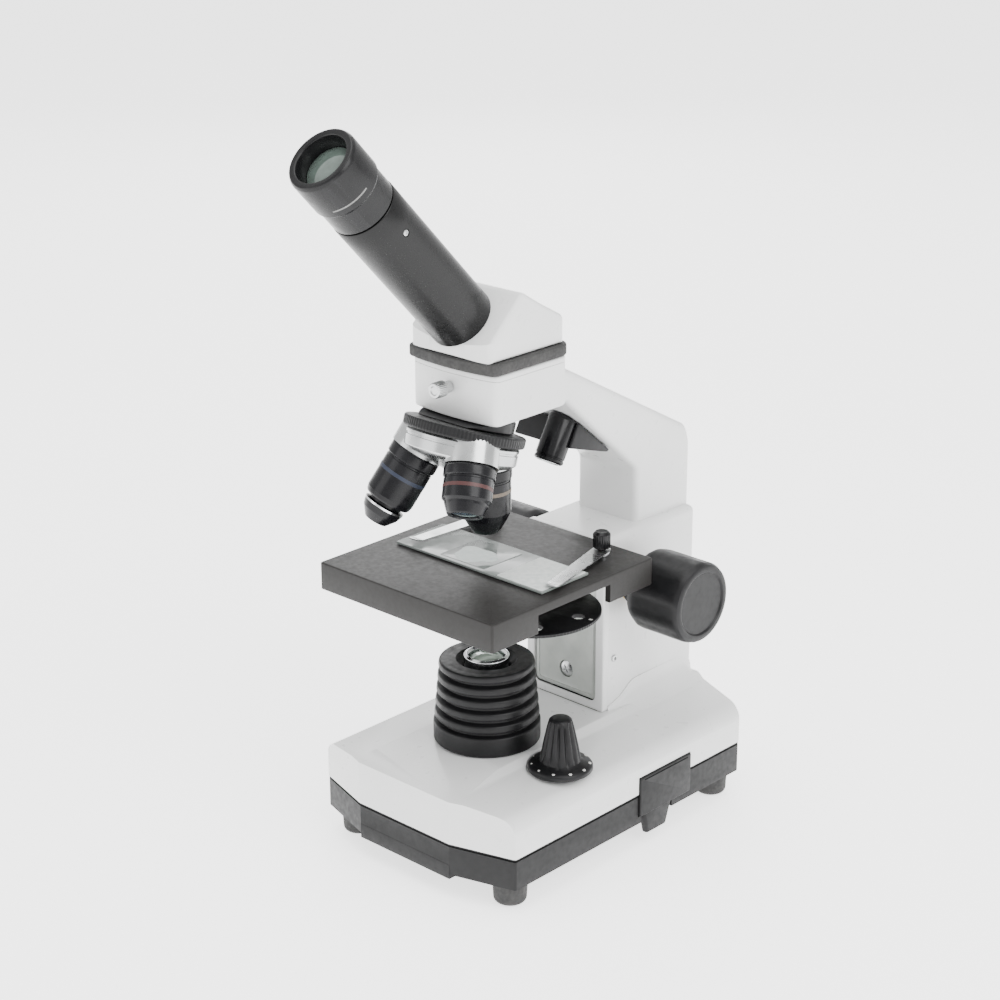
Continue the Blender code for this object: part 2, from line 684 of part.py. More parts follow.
# ---------------------------------------------------------------- focusing drive
def gear_outline(teeth, pitch_radius):
    """Corners of a spur gear with straight-sided teeth, one tooth pointing along -Y."""
    points = []
    root = pitch_radius - TOOTH_IN
    tip = pitch_radius + TOOTH_OUT
    step = 2 * pi / teeth
    wide = step * TOOTH_SHARE / 2 * 1.35
    narrow = step * TOOTH_SHARE / 2 * 0.70
    for tooth in range(teeth):
        centre = -pi / 2 + tooth * step
        for radius, offset in ((root, -wide), (tip, -narrow), (tip, narrow), (root, wide)):
            points.append((radius * cos(centre + offset), radius * sin(centre + offset)))
    return points


def rack_outline():
    """Corners of the rack in Y and Z, with a gap facing the pinion's tooth."""
    pitch = pi * GEAR_MODULE
    pitch_line = FOCUS_Y - PITCH_RADIUS
    root_y = pitch_line - TOOTH_IN
    tip_y = pitch_line + TOOTH_OUT
    wide = pitch * TOOTH_SHARE / 2 * 1.35
    narrow = pitch * TOOTH_SHARE / 2 * 0.70
    first = ceil((RACK_BOTTOM_Z + wide - FOCUS_Z) / pitch - 0.5)
    points = [(CARRIAGE_BACK_Y + GAP, RACK_BOTTOM_Z), (root_y, RACK_BOTTOM_Z)]
    centre = FOCUS_Z + (first + 0.5) * pitch
    while centre + wide < RACK_TOP_Z:
        for y, offset in ((root_y, -wide), (tip_y, -narrow), (tip_y, narrow), (root_y, wide)):
            points.append((y, centre + offset))
        centre += pitch
    points += [(root_y, RACK_TOP_Z), (CARRIAGE_BACK_Y + GAP, RACK_TOP_Z)]
    return points


def knob_profile():
    """Half section of a focusing knob, radius against distance outwards."""
    edge = 0.0022
    return [(0, KNOB_OUTER_X - 0.0010), (KNOB_RADIUS - 0.0040, KNOB_OUTER_X - 0.0010),
            (KNOB_RADIUS - 0.0034, KNOB_OUTER_X), (KNOB_RADIUS - edge, KNOB_OUTER_X),
            (KNOB_RADIUS - 0.0005, KNOB_OUTER_X - 0.0012), (KNOB_RADIUS, KNOB_OUTER_X - 0.0030),
            (KNOB_RADIUS, KNOB_INNER_X + 0.0020), (KNOB_RADIUS - 0.0015, KNOB_INNER_X),
            (HUB_RADIUS, KNOB_INNER_X), (HUB_RADIUS, HUB_INNER_X),
            (SHAFT_RADIUS + GAP, HUB_INNER_X), (SHAFT_RADIUS + GAP, 0.0510), (0, 0.0510)]


def make_focus_drive():
    as_part(along_x(rod(SHAFT_RADIUS, -0.0505, 0.0505, 16)), "focus_shaft", FOCUS, "steel")
    pinion = section_x(gear_outline(PINION_TEETH, PITCH_RADIUS), -0.0050, 0.0050)
    cut(pinion, along_x(rod(SHAFT_RADIUS + GAP, -0.01, 0.01, 16)))
    as_part(pinion, "pinion", FOCUS, "brass", smooth=False)
    rack = section_x(rack_outline(), -0.0040, 0.0040)
    as_part(rack, "rack", STAGE, "brass", smooth=False)

    bush = [(BUSH_FLANGE_RADIUS, 0.0223), (BUSH_FLANGE_RADIUS, 0.0208), (BUSH_RADIUS, 0.0208),
            (BUSH_RADIUS, 0.0120), (SHAFT_RADIUS + 0.00015, 0.0120), (SHAFT_RADIUS + 0.00015, 0.0223)]
    for side, word in ((-1, "left"), (1, "right")):
        turn = Matrix.Rotation(radians(90 * side), 4, "Y")
        knob = reframe(turned(knob_profile(), 24), turn)
        as_part(knob, f"focus_knob_{word}", FOCUS, "black_plastic")
        sleeve = reframe(turned(bush, 24, closed=True), Matrix.Translation((0, FOCUS_Y, FOCUS_Z)) @ turn)
        as_part(sleeve, f"shaft_bush_{word}", STAND, "brass")


# ---------------------------------------------------------------- stage
def make_carriage():
    block = box((-CARRIAGE_HALF_WIDTH, CARRIAGE_FRONT_Y, CARRIAGE_BOTTOM_Z),
                (CARRIAGE_HALF_WIDTH, CARRIAGE_BACK_Y, CARRIAGE_TOP_Z))
    neck = box((-0.0140, 0.0400, BRACKET_BOTTOM_Z), (0.0140, 0.0480, BRACKET_TOP_Z))
    table = rounded_box((-0.0180, -0.0160, BRACKET_BOTTOM_Z + 0.0001),
                        (0.0270, 0.0442, BRACKET_TOP_Z - 0.0001), 0.0060, 3)
    posts = []
    for x, y in ((-0.0120, -0.0090), (0.0210, -0.0090), (-0.0120, 0.0380), (0.0210, 0.0380)):
        posts.append(moved(rod(0.0030, 0.1050, STAGE_TOP_Z - STAGE_THICKNESS - GAP, 12), x, y))
    join(block, neck, table, *posts)
    block = bake(block)
    hole = rod(0.0080, 0.09, 0.12, 24)
    pivot_hole = moved(rod(0.0018, 0.09, 0.12, 12), DISC_X, DISC_Y)
    screw_hole = reframe(rod(0.0022, 0.04, 0.0515, 12), Matrix.Translation((0, 0, 0.0570)) @ ALONG_Y)
    cut(block, hole, pivot_hole, screw_hole)
    as_part(block, "carriage", STAGE, "grey_casting", smooth=False)

    screw = [(0, 0.0009), (0.0022, 0.0008), (0.0034, GAP), (0.0018, GAP), (0.0018, -0.0050), (0, -0.0050)]
    turn = Matrix.Translation((0, CARRIAGE_FRONT_Y, 0.0570)) @ Matrix.Rotation(radians(90), 4, "X")
    as_part(reframe(turned(screw, 20), turn), "carriage_screw", STAGE, "steel")


def make_stage():
    skirt_bottom = STAGE_TOP_Z - SKIRT_DEPTH
    under = STAGE_TOP_Z - STAGE_THICKNESS
    stage = rounded_box((-STAGE_HALF_WIDTH, STAGE_FRONT_Y, skirt_bottom),
                        (STAGE_HALF_WIDTH, STAGE_BACK_Y, STAGE_TOP_Z), 0.0012, 2)
    hollow = box((-STAGE_HALF_WIDTH + SKIRT_WALL, STAGE_FRONT_Y + SKIRT_WALL, 0.09),
                 (STAGE_HALF_WIDTH - SKIRT_WALL, STAGE_BACK_Y - SKIRT_WALL, under))
    notch = box((STAGE_HALF_WIDTH - 0.005, -NOTCH_HALF_LENGTH, 0.09),
                (STAGE_HALF_WIDTH + 0.005, NOTCH_HALF_LENGTH, under - 0.0006))
    holes = [rod(STAGE_HOLE_RADIUS, 0.10, 0.13)]
    for side in (-1, 1):
        holes.append(moved(rod(0.0019, 0.10, 0.13, 12), side * CLIP_X, CLIP_Y))
    cut(stage, hollow, notch, *holes)
    as_part(stage, "stage_plate", STAGE, "black_paint")


def clip_outline():
    """A strip with round ends, from its pivot at the origin towards -Y."""
    radius = CLIP_WIDTH / 2
    tip_radius = radius * 0.7
    steps = 6
    points = []
    for index in range(steps + 1):
        angle = pi * index / steps
        points.append((radius * cos(angle), radius * sin(angle)))
    for index in range(steps + 1):
        angle = pi + pi * index / steps
        points.append((tip_radius * cos(angle), tip_radius * (sin(angle) + 1) - CLIP_LENGTH))
    return points


def make_clips():
    collar_bottom = STAGE_TOP_Z + GAP
    profile = [(0, 0.1272), (0.0028, 0.1272), (0.0035, 0.1266), (0.0035, CLIP_TOP_Z + GAP),
               (0.0016, CLIP_TOP_Z + GAP), (0.0016, CLIP_BOTTOM_Z - GAP), (0.0034, CLIP_BOTTOM_Z - GAP),
               (0.0034, collar_bottom), (0.0016, collar_bottom), (0.0016, 0.1125), (0, 0.1125)]
    for side, word, angle in ((-1, "left", CLIP_ANGLE_LEFT), (1, "right", CLIP_ANGLE_RIGHT)):
        frame = empty(f"clip_{word}_frame", STAGE, (side * CLIP_X, CLIP_Y, 0), (0, 0, angle))
        screw = moved(turned(profile, 20), side * CLIP_X, CLIP_Y)
        as_part(screw, f"clip_screw_{word}", STAGE, "black_plastic")
        strip = plan(clip_outline(), CLIP_BOTTOM_Z, CLIP_TOP_Z)
        cut(strip, rod(0.0019, 0.11, 0.13, 12))
        as_part(strip, f"stage_clip_{word}", frame, "steel")


def make_slide():
    half_x, half_y = SLIDE_SIZE[0] / 2, SLIDE_SIZE[1] / 2
    x, y = SLIDE_CENTRE
    glass = box((x - half_x, y - half_y, SLIDE_BOTTOM_Z),
                (x + half_x, y + half_y, SLIDE_BOTTOM_Z + SLIDE_THICKNESS))
    as_part(glass, "specimen_slide", SLIDE, "glass", smooth=False)


def make_diaphragm():
    disc = rod(DISC_RADIUS, DISC_BOTTOM_Z, DISC_TOP_Z, 32)
    reach = Vector((DISC_X, DISC_Y)).length
    first = atan2(-DISC_Y, -DISC_X)
    holes = [rod(0.0019, 0.09, 0.12, 12)]
    for index, radius in enumerate(APERTURE_RADII):
        angle = first + index * 2 * pi / len(APERTURE_RADII)
        holes.append(moved(rod(radius, 0.09, 0.12, 12), reach * cos(angle), reach * sin(angle)))
    cut(disc, *holes)
    as_part(disc, "diaphragm_disc", DISC, "black_plastic")
    pivot = [(0, 0.1060), (0.0016, 0.1060), (0.0016, DISC_BOTTOM_Z - GAP), (0.0042, DISC_BOTTOM_Z - GAP),
             (0.0036, 0.0988), (0, 0.0986)]
    as_part(moved(turned(pivot, 20), DISC_X, DISC_Y), "diaphragm_pivot", STAGE, "chrome")


# ---------------------------------------------------------------- nosepiece and objectives
def objective_paths(radius, near, far):
    """Three cutters along the objectives' axes, inside the nosepiece's frame."""
    paths = []
    for turn in (0, 2 * pi / 3, -2 * pi / 3):
        paths.append(reframe(rod(radius, -far, -near, 16), turret_matrix(turn)))
    return paths


def make_nosepiece():
    upright = place_of(TURRET).inverted()
    mount = turned([(0, -0.0200), (0.0180, -0.0200), (0.0180, -RING_NEAR + GAP), (0, -RING_NEAR + GAP)], 32)
    above = reframe(box((-0.05, -0.06, BLOCK_BOTTOM_Z - GAP), (0.05, 0.06, 0.25)), upright)
    path = reframe(rod(LIGHT_PATH_RADIUS, 0.16, 0.19), upright)
    cut(mount, above, path, rod(0.0020, -0.05, -0.01, 16))
    as_part(mount, "nosepiece_mount", TURRET, "black_paint")

    edge = TURRET_RADIUS - 0.0006
    ring = turned([(0, -RING_NEAR), (edge, -RING_NEAR), (TURRET_RADIUS, -RING_NEAR - 0.0006),
                   (TURRET_RADIUS, -RING_FAR + 0.0006), (edge, -RING_FAR), (0, -RING_FAR)], 32)
    cut(ring, *objective_paths(0.0070, 0.02, 0.045), rod(0.0020, -0.05, -0.02, 16))
    as_part(ring, "turret_ring", TURRET, "black_plastic")

    near = RING_FAR + GAP
    cone_tip = (SEAT - 0.0003) / cos(TURRET_TILT)
    cone_mid = cone_tip - 0.0045 * tan(TURRET_TILT)
    cone_rim = cone_tip - (PLATE_RADIUS - 0.0010) * tan(TURRET_TILT)
    plate = turned([(0, -near), (PLATE_RADIUS, -near), (PLATE_RADIUS, -cone_rim + 0.0006),
                    (PLATE_RADIUS - 0.0010, -cone_rim), (0.0045, -cone_mid), (0, -cone_mid)], 32)
    cut(plate, *objective_paths(STUB_RADIUS + GAP, 0.02, 0.06), rod(0.0020, -0.06, -0.02, 16))
    as_part(plate, "turret_plate", TURRET, "chrome")

    end = cone_mid + GAP
    screw = [(0, -0.0290), (0.0017, -0.0290), (0.0017, -end), (0.0036, -end), (0.0030, -end - 0.0013),
             (0, -end - 0.0015)]
    as_part(turned(screw, 20), "turret_screw", TURRET, "steel")


def objective_profile(sections, bore):
    """Closed half section: thread stub, then (radius, distance) steps down to the tip."""
    points = [(STUB_RADIUS, -STUB_TOP), (STUB_RADIUS, -SEAT)]
    points += [(radius, -distance) for radius, distance in sections]
    tip = sections[-1][1]
    points += [(bore, -tip), (bore, -STUB_TOP)]
    return points


def add_objective(name, turn, sections, bore):
    frame = empty(f"{name}_frame", TURRET)
    frame.matrix_local = turret_matrix(turn)
    barrel = turned(objective_profile(sections, bore), 24, closed=True)
    as_part(barrel, name, frame, "black_plastic")
    return frame


def add_front_lens(name, frame, radius, tip):
    rear = -tip + 0.0024
    lens = turned([(0, rear), (radius, rear), (radius, -tip + 0.0010), (0, -tip + 0.0006)], 16)
    as_part(lens, name, frame, "glass")


def make_objectives():
    low = [(0.0096, SEAT), (0.0096, 0.0525), (0.0092, 0.0530), (0.0092, 0.0610), (0.0080, 0.0625),
           (0.0066, 0.0665)]
    frame = add_objective("objective_4x", -2 * pi / 3, low, 0.0052)
    add_front_lens("front_lens_4x", frame, 0.0049, 0.0665)

    middle = [(0.0100, SEAT), (0.0100, 0.0530), (0.0096, 0.0535), (0.0096, 0.0665), (0.0086, 0.0690),
              (0.0060, 0.0735), (0.0044, 0.0750)]
    frame = add_objective("objective_10x", 0, middle, 0.0036)
    add_front_lens("front_lens_10x", frame, 0.0033, 0.0750)

    high = [(0.0098, SEAT), (0.0098, 0.0530), (0.0094, 0.0535), (0.0094, 0.0680), (0.0088, 0.0700)]
    frame = add_objective("objective_40x", 2 * pi / 3, high, 0.0068)
    nose_frame = empty("nose_frame", frame)
    nose = [(0.0064, -0.0600), (0.0064, -0.0718), (0.0080, -0.0718), (0.0072, -0.0750), (0.0040, -0.0790),
            (0.0030, -0.0790), (0.0030, -0.0600)]
    as_part(turned(nose, 24, closed=True), "objective_40x_nose", nose_frame, "black_plastic")
    add_front_lens("front_lens_40x", nose_frame, 0.0027, 0.0790)


# ---------------------------------------------------------------- head and eyepiece
def face_point(along):
    """(y, z) on the head's sloping front, at a distance up from the tube's lower end."""
    y = -0.0128 + along * cos(TUBE_TILT)
    return (y, 0.2155 + along * sin(TUBE_TILT))


def make_gasket():
    low = (-GASKET_HALF, GASKET_CENTRE_Y - GASKET_HALF, GASKET_BOTTOM_Z)
    high = (GASKET_HALF, GASKET_CENTRE_Y + GASKET_HALF, GASKET_TOP_Z)
    gasket = rounded_box(low, high, 0.0100, 5)
    cut(gasket, rod(0.0120, 0.19, 0.21))
    as_part(gasket, "head_gasket", HEAD, "rubber")


def make_head_housing():
    outer = [
        (0.0226, HEAD_BOTTOM_Z),
        (0.0226, 0.2095),
        (0.0200, 0.2138),
        (0.0085, 0.2203),
        (-0.0010, 0.2262),
        face_point(0.0140),
        face_point(-0.0104),
        (-0.0202, HEAD_BOTTOM_Z),
    ]
    housing = section_x(outer, -HEAD_HALF_WIDTH, HEAD_HALF_WIDTH)
    housing = bake(bevel(housing, 0.0045, 3, 60))
    chamber = box((-0.0130, -0.0120, 0.19), (0.0130, 0.0140, 0.2120))
    inclined = place_of(TUBE_FRAME)
    bore = reframe(rod(TUBE_RADIUS + GAP, -0.1185, -0.0635, 32), inclined)
    cut(housing, chamber, bore)
    as_part(housing, "head_housing", HEAD, "white_paint")


def make_prism():
    outline_yz = [(-0.0080, 0.2035), (0.0085, 0.2035), (0.0060, 0.2105), (-0.0010, 0.2070)]
    as_part(section_x(outline_yz, -0.0080, 0.0080), "prism", HEAD, "glass", smooth=False)


def make_eye_tube():
    body = tube(TUBE_RADIUS, TUBE_BORE, -TUBE_END, -EYEPIECE_HEAD - GAP, 24)
    place = Matrix.Translation((0, 0, -SET_SCREW_ALONG)) @ ALONG_X
    cut(body, reframe(rod(0.0014, 0.0100, 0.0150, 12), place))
    as_part(body, "eye_tube", TUBE_FRAME, "black_paint")
    grub = rod(0.0011, TUBE_BORE + 0.0001, TUBE_RADIUS - 0.0001, 12)
    as_part(reframe(grub, place), "tube_set_screw", TUBE_FRAME, "steel")


def make_eyepiece():
    frame = empty("eyepiece_slide_frame", TUBE_FRAME)
    rim = EYEPIECE_RADIUS
    profile = [(rim - 0.0020, 0), EYEPIECE_RIM, (rim, -0.0020), (rim, -0.0160),
               (rim - 0.0007, -0.0168), (rim - 0.0007, -EYEPIECE_HEAD), (SLEEVE_RADIUS, -EYEPIECE_HEAD),
               (SLEEVE_RADIUS, -EYEPIECE_SLEEVE_END), (0.0098, -EYEPIECE_SLEEVE_END), (0.0098, -0.0075),
               (0.0070, -0.0060), (0.0085, -0.0030)]
    as_part(turned(profile, 24, closed=True), "eyepiece_barrel", frame, "black_plastic")
    eye = [(0, -0.0080), (0.0050, -0.0084), (0.0090, -0.0094), (0.0090, -0.0110), (0, -0.0130)]
    as_part(turned(eye, 24), "eye_lens", frame, "glass")
    field = [(0, -0.0440), (0.0090, -0.0452), (0.0090, -0.0470), (0, -0.0478)]
    as_part(turned(field, 24), "field_lens", frame, "glass")


# ---------------------------------------------------------------- upper lamp
def slope_height(y):
    """Height of the arm's sloping underside at y."""
    slope = (BLOCK_BOTTOM_Z - ELBOW_FOOT_Z) / (UPPER_FRONT_Y - ELBOW_Y)
    return BLOCK_BOTTOM_Z - slope * (y - ELBOW_Y)


def make_upper_lamp():
    radius = UPPER_LAMP_RADIUS
    top = UPPER_LAMP_REACH
    body = turned([(0, top), (radius, top), (radius, 0.0008), (radius - 0.0008, 0), (0.0042, 0),
                   (0.0042, 0.0035), (0, 0.0035)], 28)
    front, back = ELBOW_Y - 0.0100, UPPER_FRONT_Y
    above = section_x([(front, slope_height(front) - SLOPE_GAP), (back, slope_height(back) - SLOPE_GAP),
                       (back, BLOCK_TOP_Z), (front, BLOCK_TOP_Z)], -0.0200, 0.0200)
    cut(body, reframe(above, place_of(LAMP_FRAME).inverted()))
    as_part(body, "upper_lamp_body", LAMP_FRAME, "black_plastic")
    lens = [(0, 0.0030), (0.0039, 0.0030), (0.0039, 0.0008), (0.0020, 0.0001), (0, -0.0001)]
    as_part(turned(lens, 20), "upper_lamp_lens", LAMP_FRAME, "glass")

    upper = [(y, slope_height(y) - SLOPE_GAP) for y in LAMP_BRACKET_Y]
    bracket = section_x([*upper, *LAMP_BRACKET_LOW], -LAMP_BRACKET_HALF, LAMP_BRACKET_HALF)
    socket = reframe(rod(radius + GAP, -0.01, top, 28), place_of(LAMP_FRAME))
    cut(bracket, socket)
    as_part(bracket, "upper_lamp_bracket", STAND, "black_plastic", smooth=False)


make_base_shell()
make_base_pan()
make_feet()
make_driver_board()
make_illuminator()
make_dial()
make_drawer()
make_arm()
make_lock_screw()
make_guides()
make_focus_drive()
make_carriage()
make_stage()
make_clips()
make_slide()
make_diaphragm()
make_nosepiece()
make_objectives()
make_gasket()
make_head_housing()
make_prism()
make_eye_tube()
make_eyepiece()
make_upper_lamp()
bpy.context.view_layer.update()
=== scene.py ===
"""Looks of the student microscope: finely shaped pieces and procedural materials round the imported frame.

Metres, +Z up, -Y towards the user. Pieces are drawn in the stand's frame, whose Z axis is the light
path, and they take their places and sizes from the CAD nodes that they stand for.
"""

import json
from math import atan2, cos, pi, radians, sin, sqrt, tan

import bmesh
import bpy
from mathutils import Matrix, Vector

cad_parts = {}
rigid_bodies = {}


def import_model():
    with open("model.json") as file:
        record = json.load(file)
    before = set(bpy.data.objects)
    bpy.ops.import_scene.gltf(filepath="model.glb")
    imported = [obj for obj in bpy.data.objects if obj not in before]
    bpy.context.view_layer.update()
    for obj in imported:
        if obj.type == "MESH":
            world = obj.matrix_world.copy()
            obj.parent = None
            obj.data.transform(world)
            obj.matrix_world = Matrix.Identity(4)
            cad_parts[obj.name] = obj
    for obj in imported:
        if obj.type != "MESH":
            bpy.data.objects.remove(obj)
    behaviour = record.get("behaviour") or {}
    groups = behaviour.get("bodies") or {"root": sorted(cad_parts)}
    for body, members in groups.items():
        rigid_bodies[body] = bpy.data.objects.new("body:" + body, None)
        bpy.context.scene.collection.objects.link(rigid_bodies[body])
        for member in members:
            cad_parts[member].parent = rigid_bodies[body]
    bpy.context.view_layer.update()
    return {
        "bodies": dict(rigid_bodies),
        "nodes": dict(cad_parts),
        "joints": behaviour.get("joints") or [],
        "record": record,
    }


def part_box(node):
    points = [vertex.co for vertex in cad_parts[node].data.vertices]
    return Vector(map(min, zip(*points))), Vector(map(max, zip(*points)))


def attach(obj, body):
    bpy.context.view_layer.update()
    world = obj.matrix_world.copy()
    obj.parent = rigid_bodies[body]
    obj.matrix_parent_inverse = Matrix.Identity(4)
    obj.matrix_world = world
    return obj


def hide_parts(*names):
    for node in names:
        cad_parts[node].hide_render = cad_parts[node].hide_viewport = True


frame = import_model()

# ---------------------------------------------------------------- the frame's facts
RECORD = frame["record"]
NODES = frame["nodes"]
BODY_OF = {node: body for body, group in RECORD["behaviour"]["bodies"].items() for node in group}
JOINTS = {joint["name"]: joint for joint in frame["joints"]}

OPTICAL = Vector((0, JOINTS["head_swivel"]["pos_m"][1], 0))
STAND = Matrix.Translation(OPTICAL)
TUBE_AXIS = Vector(JOINTS["eyepiece_lift"]["axis"])
TURRET_AXIS = Vector(JOINTS["nosepiece_turn"]["axis"])
AXIS_X = Vector((1, 0, 0))
AXIS_Y = Vector((0, 1, 0))
AXIS_Z = Vector((0, 0, 1))


def low(node):
    """A node's lowest corner in the stand's frame."""
    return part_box(node)[0] - OPTICAL


def high(node):
    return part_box(node)[1] - OPTICAL


def basis(axis, origin=(0, 0, 0)):
    """A frame whose Z runs along an axis. Its X is the world's X, or Y where the axis is X itself."""
    z = Vector(axis).normalized()
    side = AXIS_Y if abs(z.x) > 0.99 else AXIS_X
    x = (side - z * side.dot(z)).normalized()
    matrix = Matrix((x, z.cross(x), z)).transposed().to_4x4()
    matrix.translation = origin
    return matrix


def on_axis(node, axis):
    """The frame at the high end of a turned node, on its own axis, with its radius and its length."""
    turn = basis(axis)
    back = turn.inverted()
    local = [back @ vert.co for vert in NODES[node].data.vertices]
    least = Vector([min(point[i] for point in local) for i in range(3)])
    most = Vector([max(point[i] for point in local) for i in range(3)])
    middle = (least + most) / 2
    turn.translation = turn @ Vector((middle.x, middle.y, most.z))
    return turn, (most.x - least.x) / 2, most.z - least.z


# ---------------------------------------------------------------- outlines
def rounded(points, closed=False, steps=5):
    """A polyline with its corners rounded. A point is (a, b), or (a, b, radius) for a round corner."""
    result = []
    count = len(points)
    for index, point in enumerate(points):
        here = Vector(point[:2])
        radius = point[2] if len(point) > 2 else 0
        if not radius or (not closed and index in (0, count - 1)):
            result.append(tuple(here))
            continue
        before = Vector(points[index - 1][:2]) - here
        after = Vector(points[(index + 1) % count][:2]) - here
        half = before.angle(after) / 2
        if half > radians(89):
            result.append(tuple(here))
            continue
        reach = min(radius / tan(half), before.length * 0.49, after.length * 0.49)
        radius = reach * tan(half)
        middle = here + (before.normalized() + after.normalized()).normalized() * (radius / sin(half))
        start = here + before.normalized() * reach - middle
        end = here + after.normalized() * reach - middle
        first = atan2(start.y, start.x)
        sweep = (atan2(end.y, end.x) - first + pi) % (2 * pi) - pi
        for step in range(steps + 1):
            angle = first + sweep * step / steps
            result.append((middle.x + radius * cos(angle), middle.y + radius * sin(angle)))
    return result


def bowed_plan(half, front, back, bow, corner):
    """A square plan whose front bulges by a sagitta, with rounded corners."""
    radius = (half * half + bow * bow) / (2 * bow)
    steps = 12
    widest = atan2(half - corner * 0.4, radius - bow)
    points = [(half, back, corner), (half, front + bow, corner)]
    for step in range(1, steps):
        angle = widest * (1 - 2 * step / steps)
        points.append((radius * sin(angle), front + radius - radius * cos(angle)))
    points += [(-half, front + bow, corner), (-half, back, corner)]
    return rounded(points, closed=True)


# ---------------------------------------------------------------- mesh building
def new_piece(bm):
    """An object with a mesh that has been built, and its faces turned outwards."""
    mesh = bpy.data.meshes.new("piece")
    bmesh.ops.recalc_face_normals(bm, faces=bm.faces)
    bm.to_mesh(mesh)
    bm.free()
    piece = bpy.data.objects.new("piece", mesh)
    bpy.context.scene.collection.objects.link(piece)
    return piece


def moved(x, y, z=0):
    return Matrix.Translation((x, y, z))


def reframe(piece, matrix):
    piece.data.transform(matrix)
    piece.data.update()
    return piece


def lathe(profile, matrix=None, steps=96, closed=False, shape=None):
    """A turned solid about Z. The profile is (radius, z) from the top down; shape(radius, z, angle)
    gives the radius where it isn't round."""
    bm = bmesh.new()
    rings = []
    for radius, z in profile:
        if radius < 1e-7:
            rings.append([bm.verts.new((0, 0, z))])
            continue
        ring = []
        for step in range(steps):
            angle = 2 * pi * step / steps
            reach = shape(radius, z, angle) if shape else radius
            ring.append(bm.verts.new((reach * cos(angle), reach * sin(angle), z)))
        rings.append(ring)
    pairs = list(zip(rings, rings[1:]))
    if closed:
        pairs.append((rings[-1], rings[0]))
    for upper, lower in pairs:
        for step in range(steps):
            after = (step + 1) % steps
            corners = [upper[step % len(upper)], lower[step % len(lower)],
                       lower[after % len(lower)], upper[after % len(upper)]]
            face = list(dict.fromkeys(corners))
            if len(face) > 2:
                bm.faces.new(face)
    piece = new_piece(bm)
    return reframe(piece, matrix) if matrix else piece


def turned_ring(points, matrix, steps):
    """A ring turned about Z, from a closed profile with rounded corners."""
    return lathe(rounded(points, closed=True), matrix, steps, closed=True)


def knurl(least, bottom, top, count, depth):
    """A shape for lathe: knurling where the radius is over a least one, between two heights."""
    def shape(radius, z, angle):
        if radius < least or z < bottom or z > top:
            return radius
        return radius - depth * (0.5 + 0.5 * cos(count * angle))
    return shape


def prism(points, start, end, axis="z"):
    """An outline pushed along an axis. It is drawn in X and Y, in Y and Z, or in X and Z."""
    bm = bmesh.new()
    face = bm.faces.new([bm.verts.new((a, b, start)) for a, b in points])
    pushed = bmesh.ops.extrude_face_region(bm, geom=[face])
    for item in pushed["geom"]:
        if isinstance(item, bmesh.types.BMVert):
            item.co.z = end
    turns = {
        "z": Matrix.Identity(4),
        "x": Matrix(((0, 0, 1, 0), (1, 0, 0, 0), (0, 1, 0, 0), (0, 0, 0, 1))),
        "y": Matrix(((1, 0, 0, 0), (0, 0, 1, 0), (0, 1, 0, 0), (0, 0, 0, 1))),
    }
    bmesh.ops.transform(bm, matrix=turns[axis], verts=bm.verts)
    return new_piece(bm)


def slab(points, start, end, axis="z", steps=5):
    """A prism whose outline has rounded corners."""
    return prism(rounded(points, closed=True, steps=steps), start, end, axis)


def loft(rows):
    """A solid through rows of points. Each row is a closed loop, and the two ends are filled."""
    bm = bmesh.new()
    rows = [[bm.verts.new(point) for point in row] for row in rows]
    for near, far in zip(rows, rows[1:]):
        for index in range(len(near)):
            after = (index + 1) % len(near)
            bm.faces.new((near[index], near[after], far[after], far[index]))
    bm.faces.new(rows[0])
    bm.faces.new(rows[-1])
    return new_piece(bm)


def block(least, most, radius=0.0):
    """A box, with its upright edges rounded if a radius is given."""
    x0, y0, x1, y1 = least[0], least[1], most[0], most[1]
    corners = [(x1, y1, radius), (x1, y0, radius), (x0, y0, radius), (x0, y1, radius)]
    return slab(corners, least[2], most[2])


def bake(piece):
    """Apply a piece's modifiers, and weld what they leave."""
    bpy.context.view_layer.update()
    graph = bpy.context.evaluated_depsgraph_get()
    mesh = bpy.data.meshes.new_from_object(piece.evaluated_get(graph))
    used = [modifier.object for modifier in piece.modifiers if modifier.type == "BOOLEAN"]
    piece.modifiers.clear()
    piece.data = mesh
    for other in used:
        bpy.data.objects.remove(other, do_unlink=True)
    bm = bmesh.new()
    bm.from_mesh(mesh)
    bmesh.ops.remove_doubles(bm, verts=bm.verts, dist=0.000002)
    bm.to_mesh(mesh)
    bm.free()
    return piece


def combine(piece, operation, *others):
    """Apply exact booleans. The other pieces are used up."""
    for other in others:
        modifier = piece.modifiers.new("combine", "BOOLEAN")
        modifier.operation = operation
        modifier.solver = "EXACT"
        modifier.object = other
    return bake(piece)


def cut(piece, *others):
    return combine(piece, "DIFFERENCE", *others)


def join(piece, *others):
    return combine(piece, "UNION", *others)


def bevel(piece, width, segments=4, angle=40):
    modifier = piece.modifiers.new("edge", "BEVEL")
    modifier.width = width
    modifier.segments = segments
    modifier.limit_method = "ANGLE"
    modifier.angle_limit = radians(angle)
    return bake(piece)


def gather(*pieces):
    """Several pieces as one mesh, for things that sit side by side on one body."""
    bm = bmesh.new()
    for piece in pieces:
        bm.from_mesh(piece.data)
        bpy.data.objects.remove(piece, do_unlink=True)
    return new_piece(bm)


def stand_for(piece, name, material, node, angle=32, replace=True):
    """Name a finished piece, give it its material, and let it stand for a CAD node."""
    piece.name = name
    piece.data.name = name
    piece.data.materials.clear()
    piece.data.materials.append(material)
    piece.data.shade_smooth()
    piece.data.set_sharp_from_angle(angle=radians(angle))
    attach(piece, BODY_OF[node])
    if replace:
        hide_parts(node)
    return piece


def add_detail(piece, name, material, node, angle=32):
    """A small piece beside the one that stands for its CAD node."""
    return stand_for(piece, name, material, node, angle, replace=False)


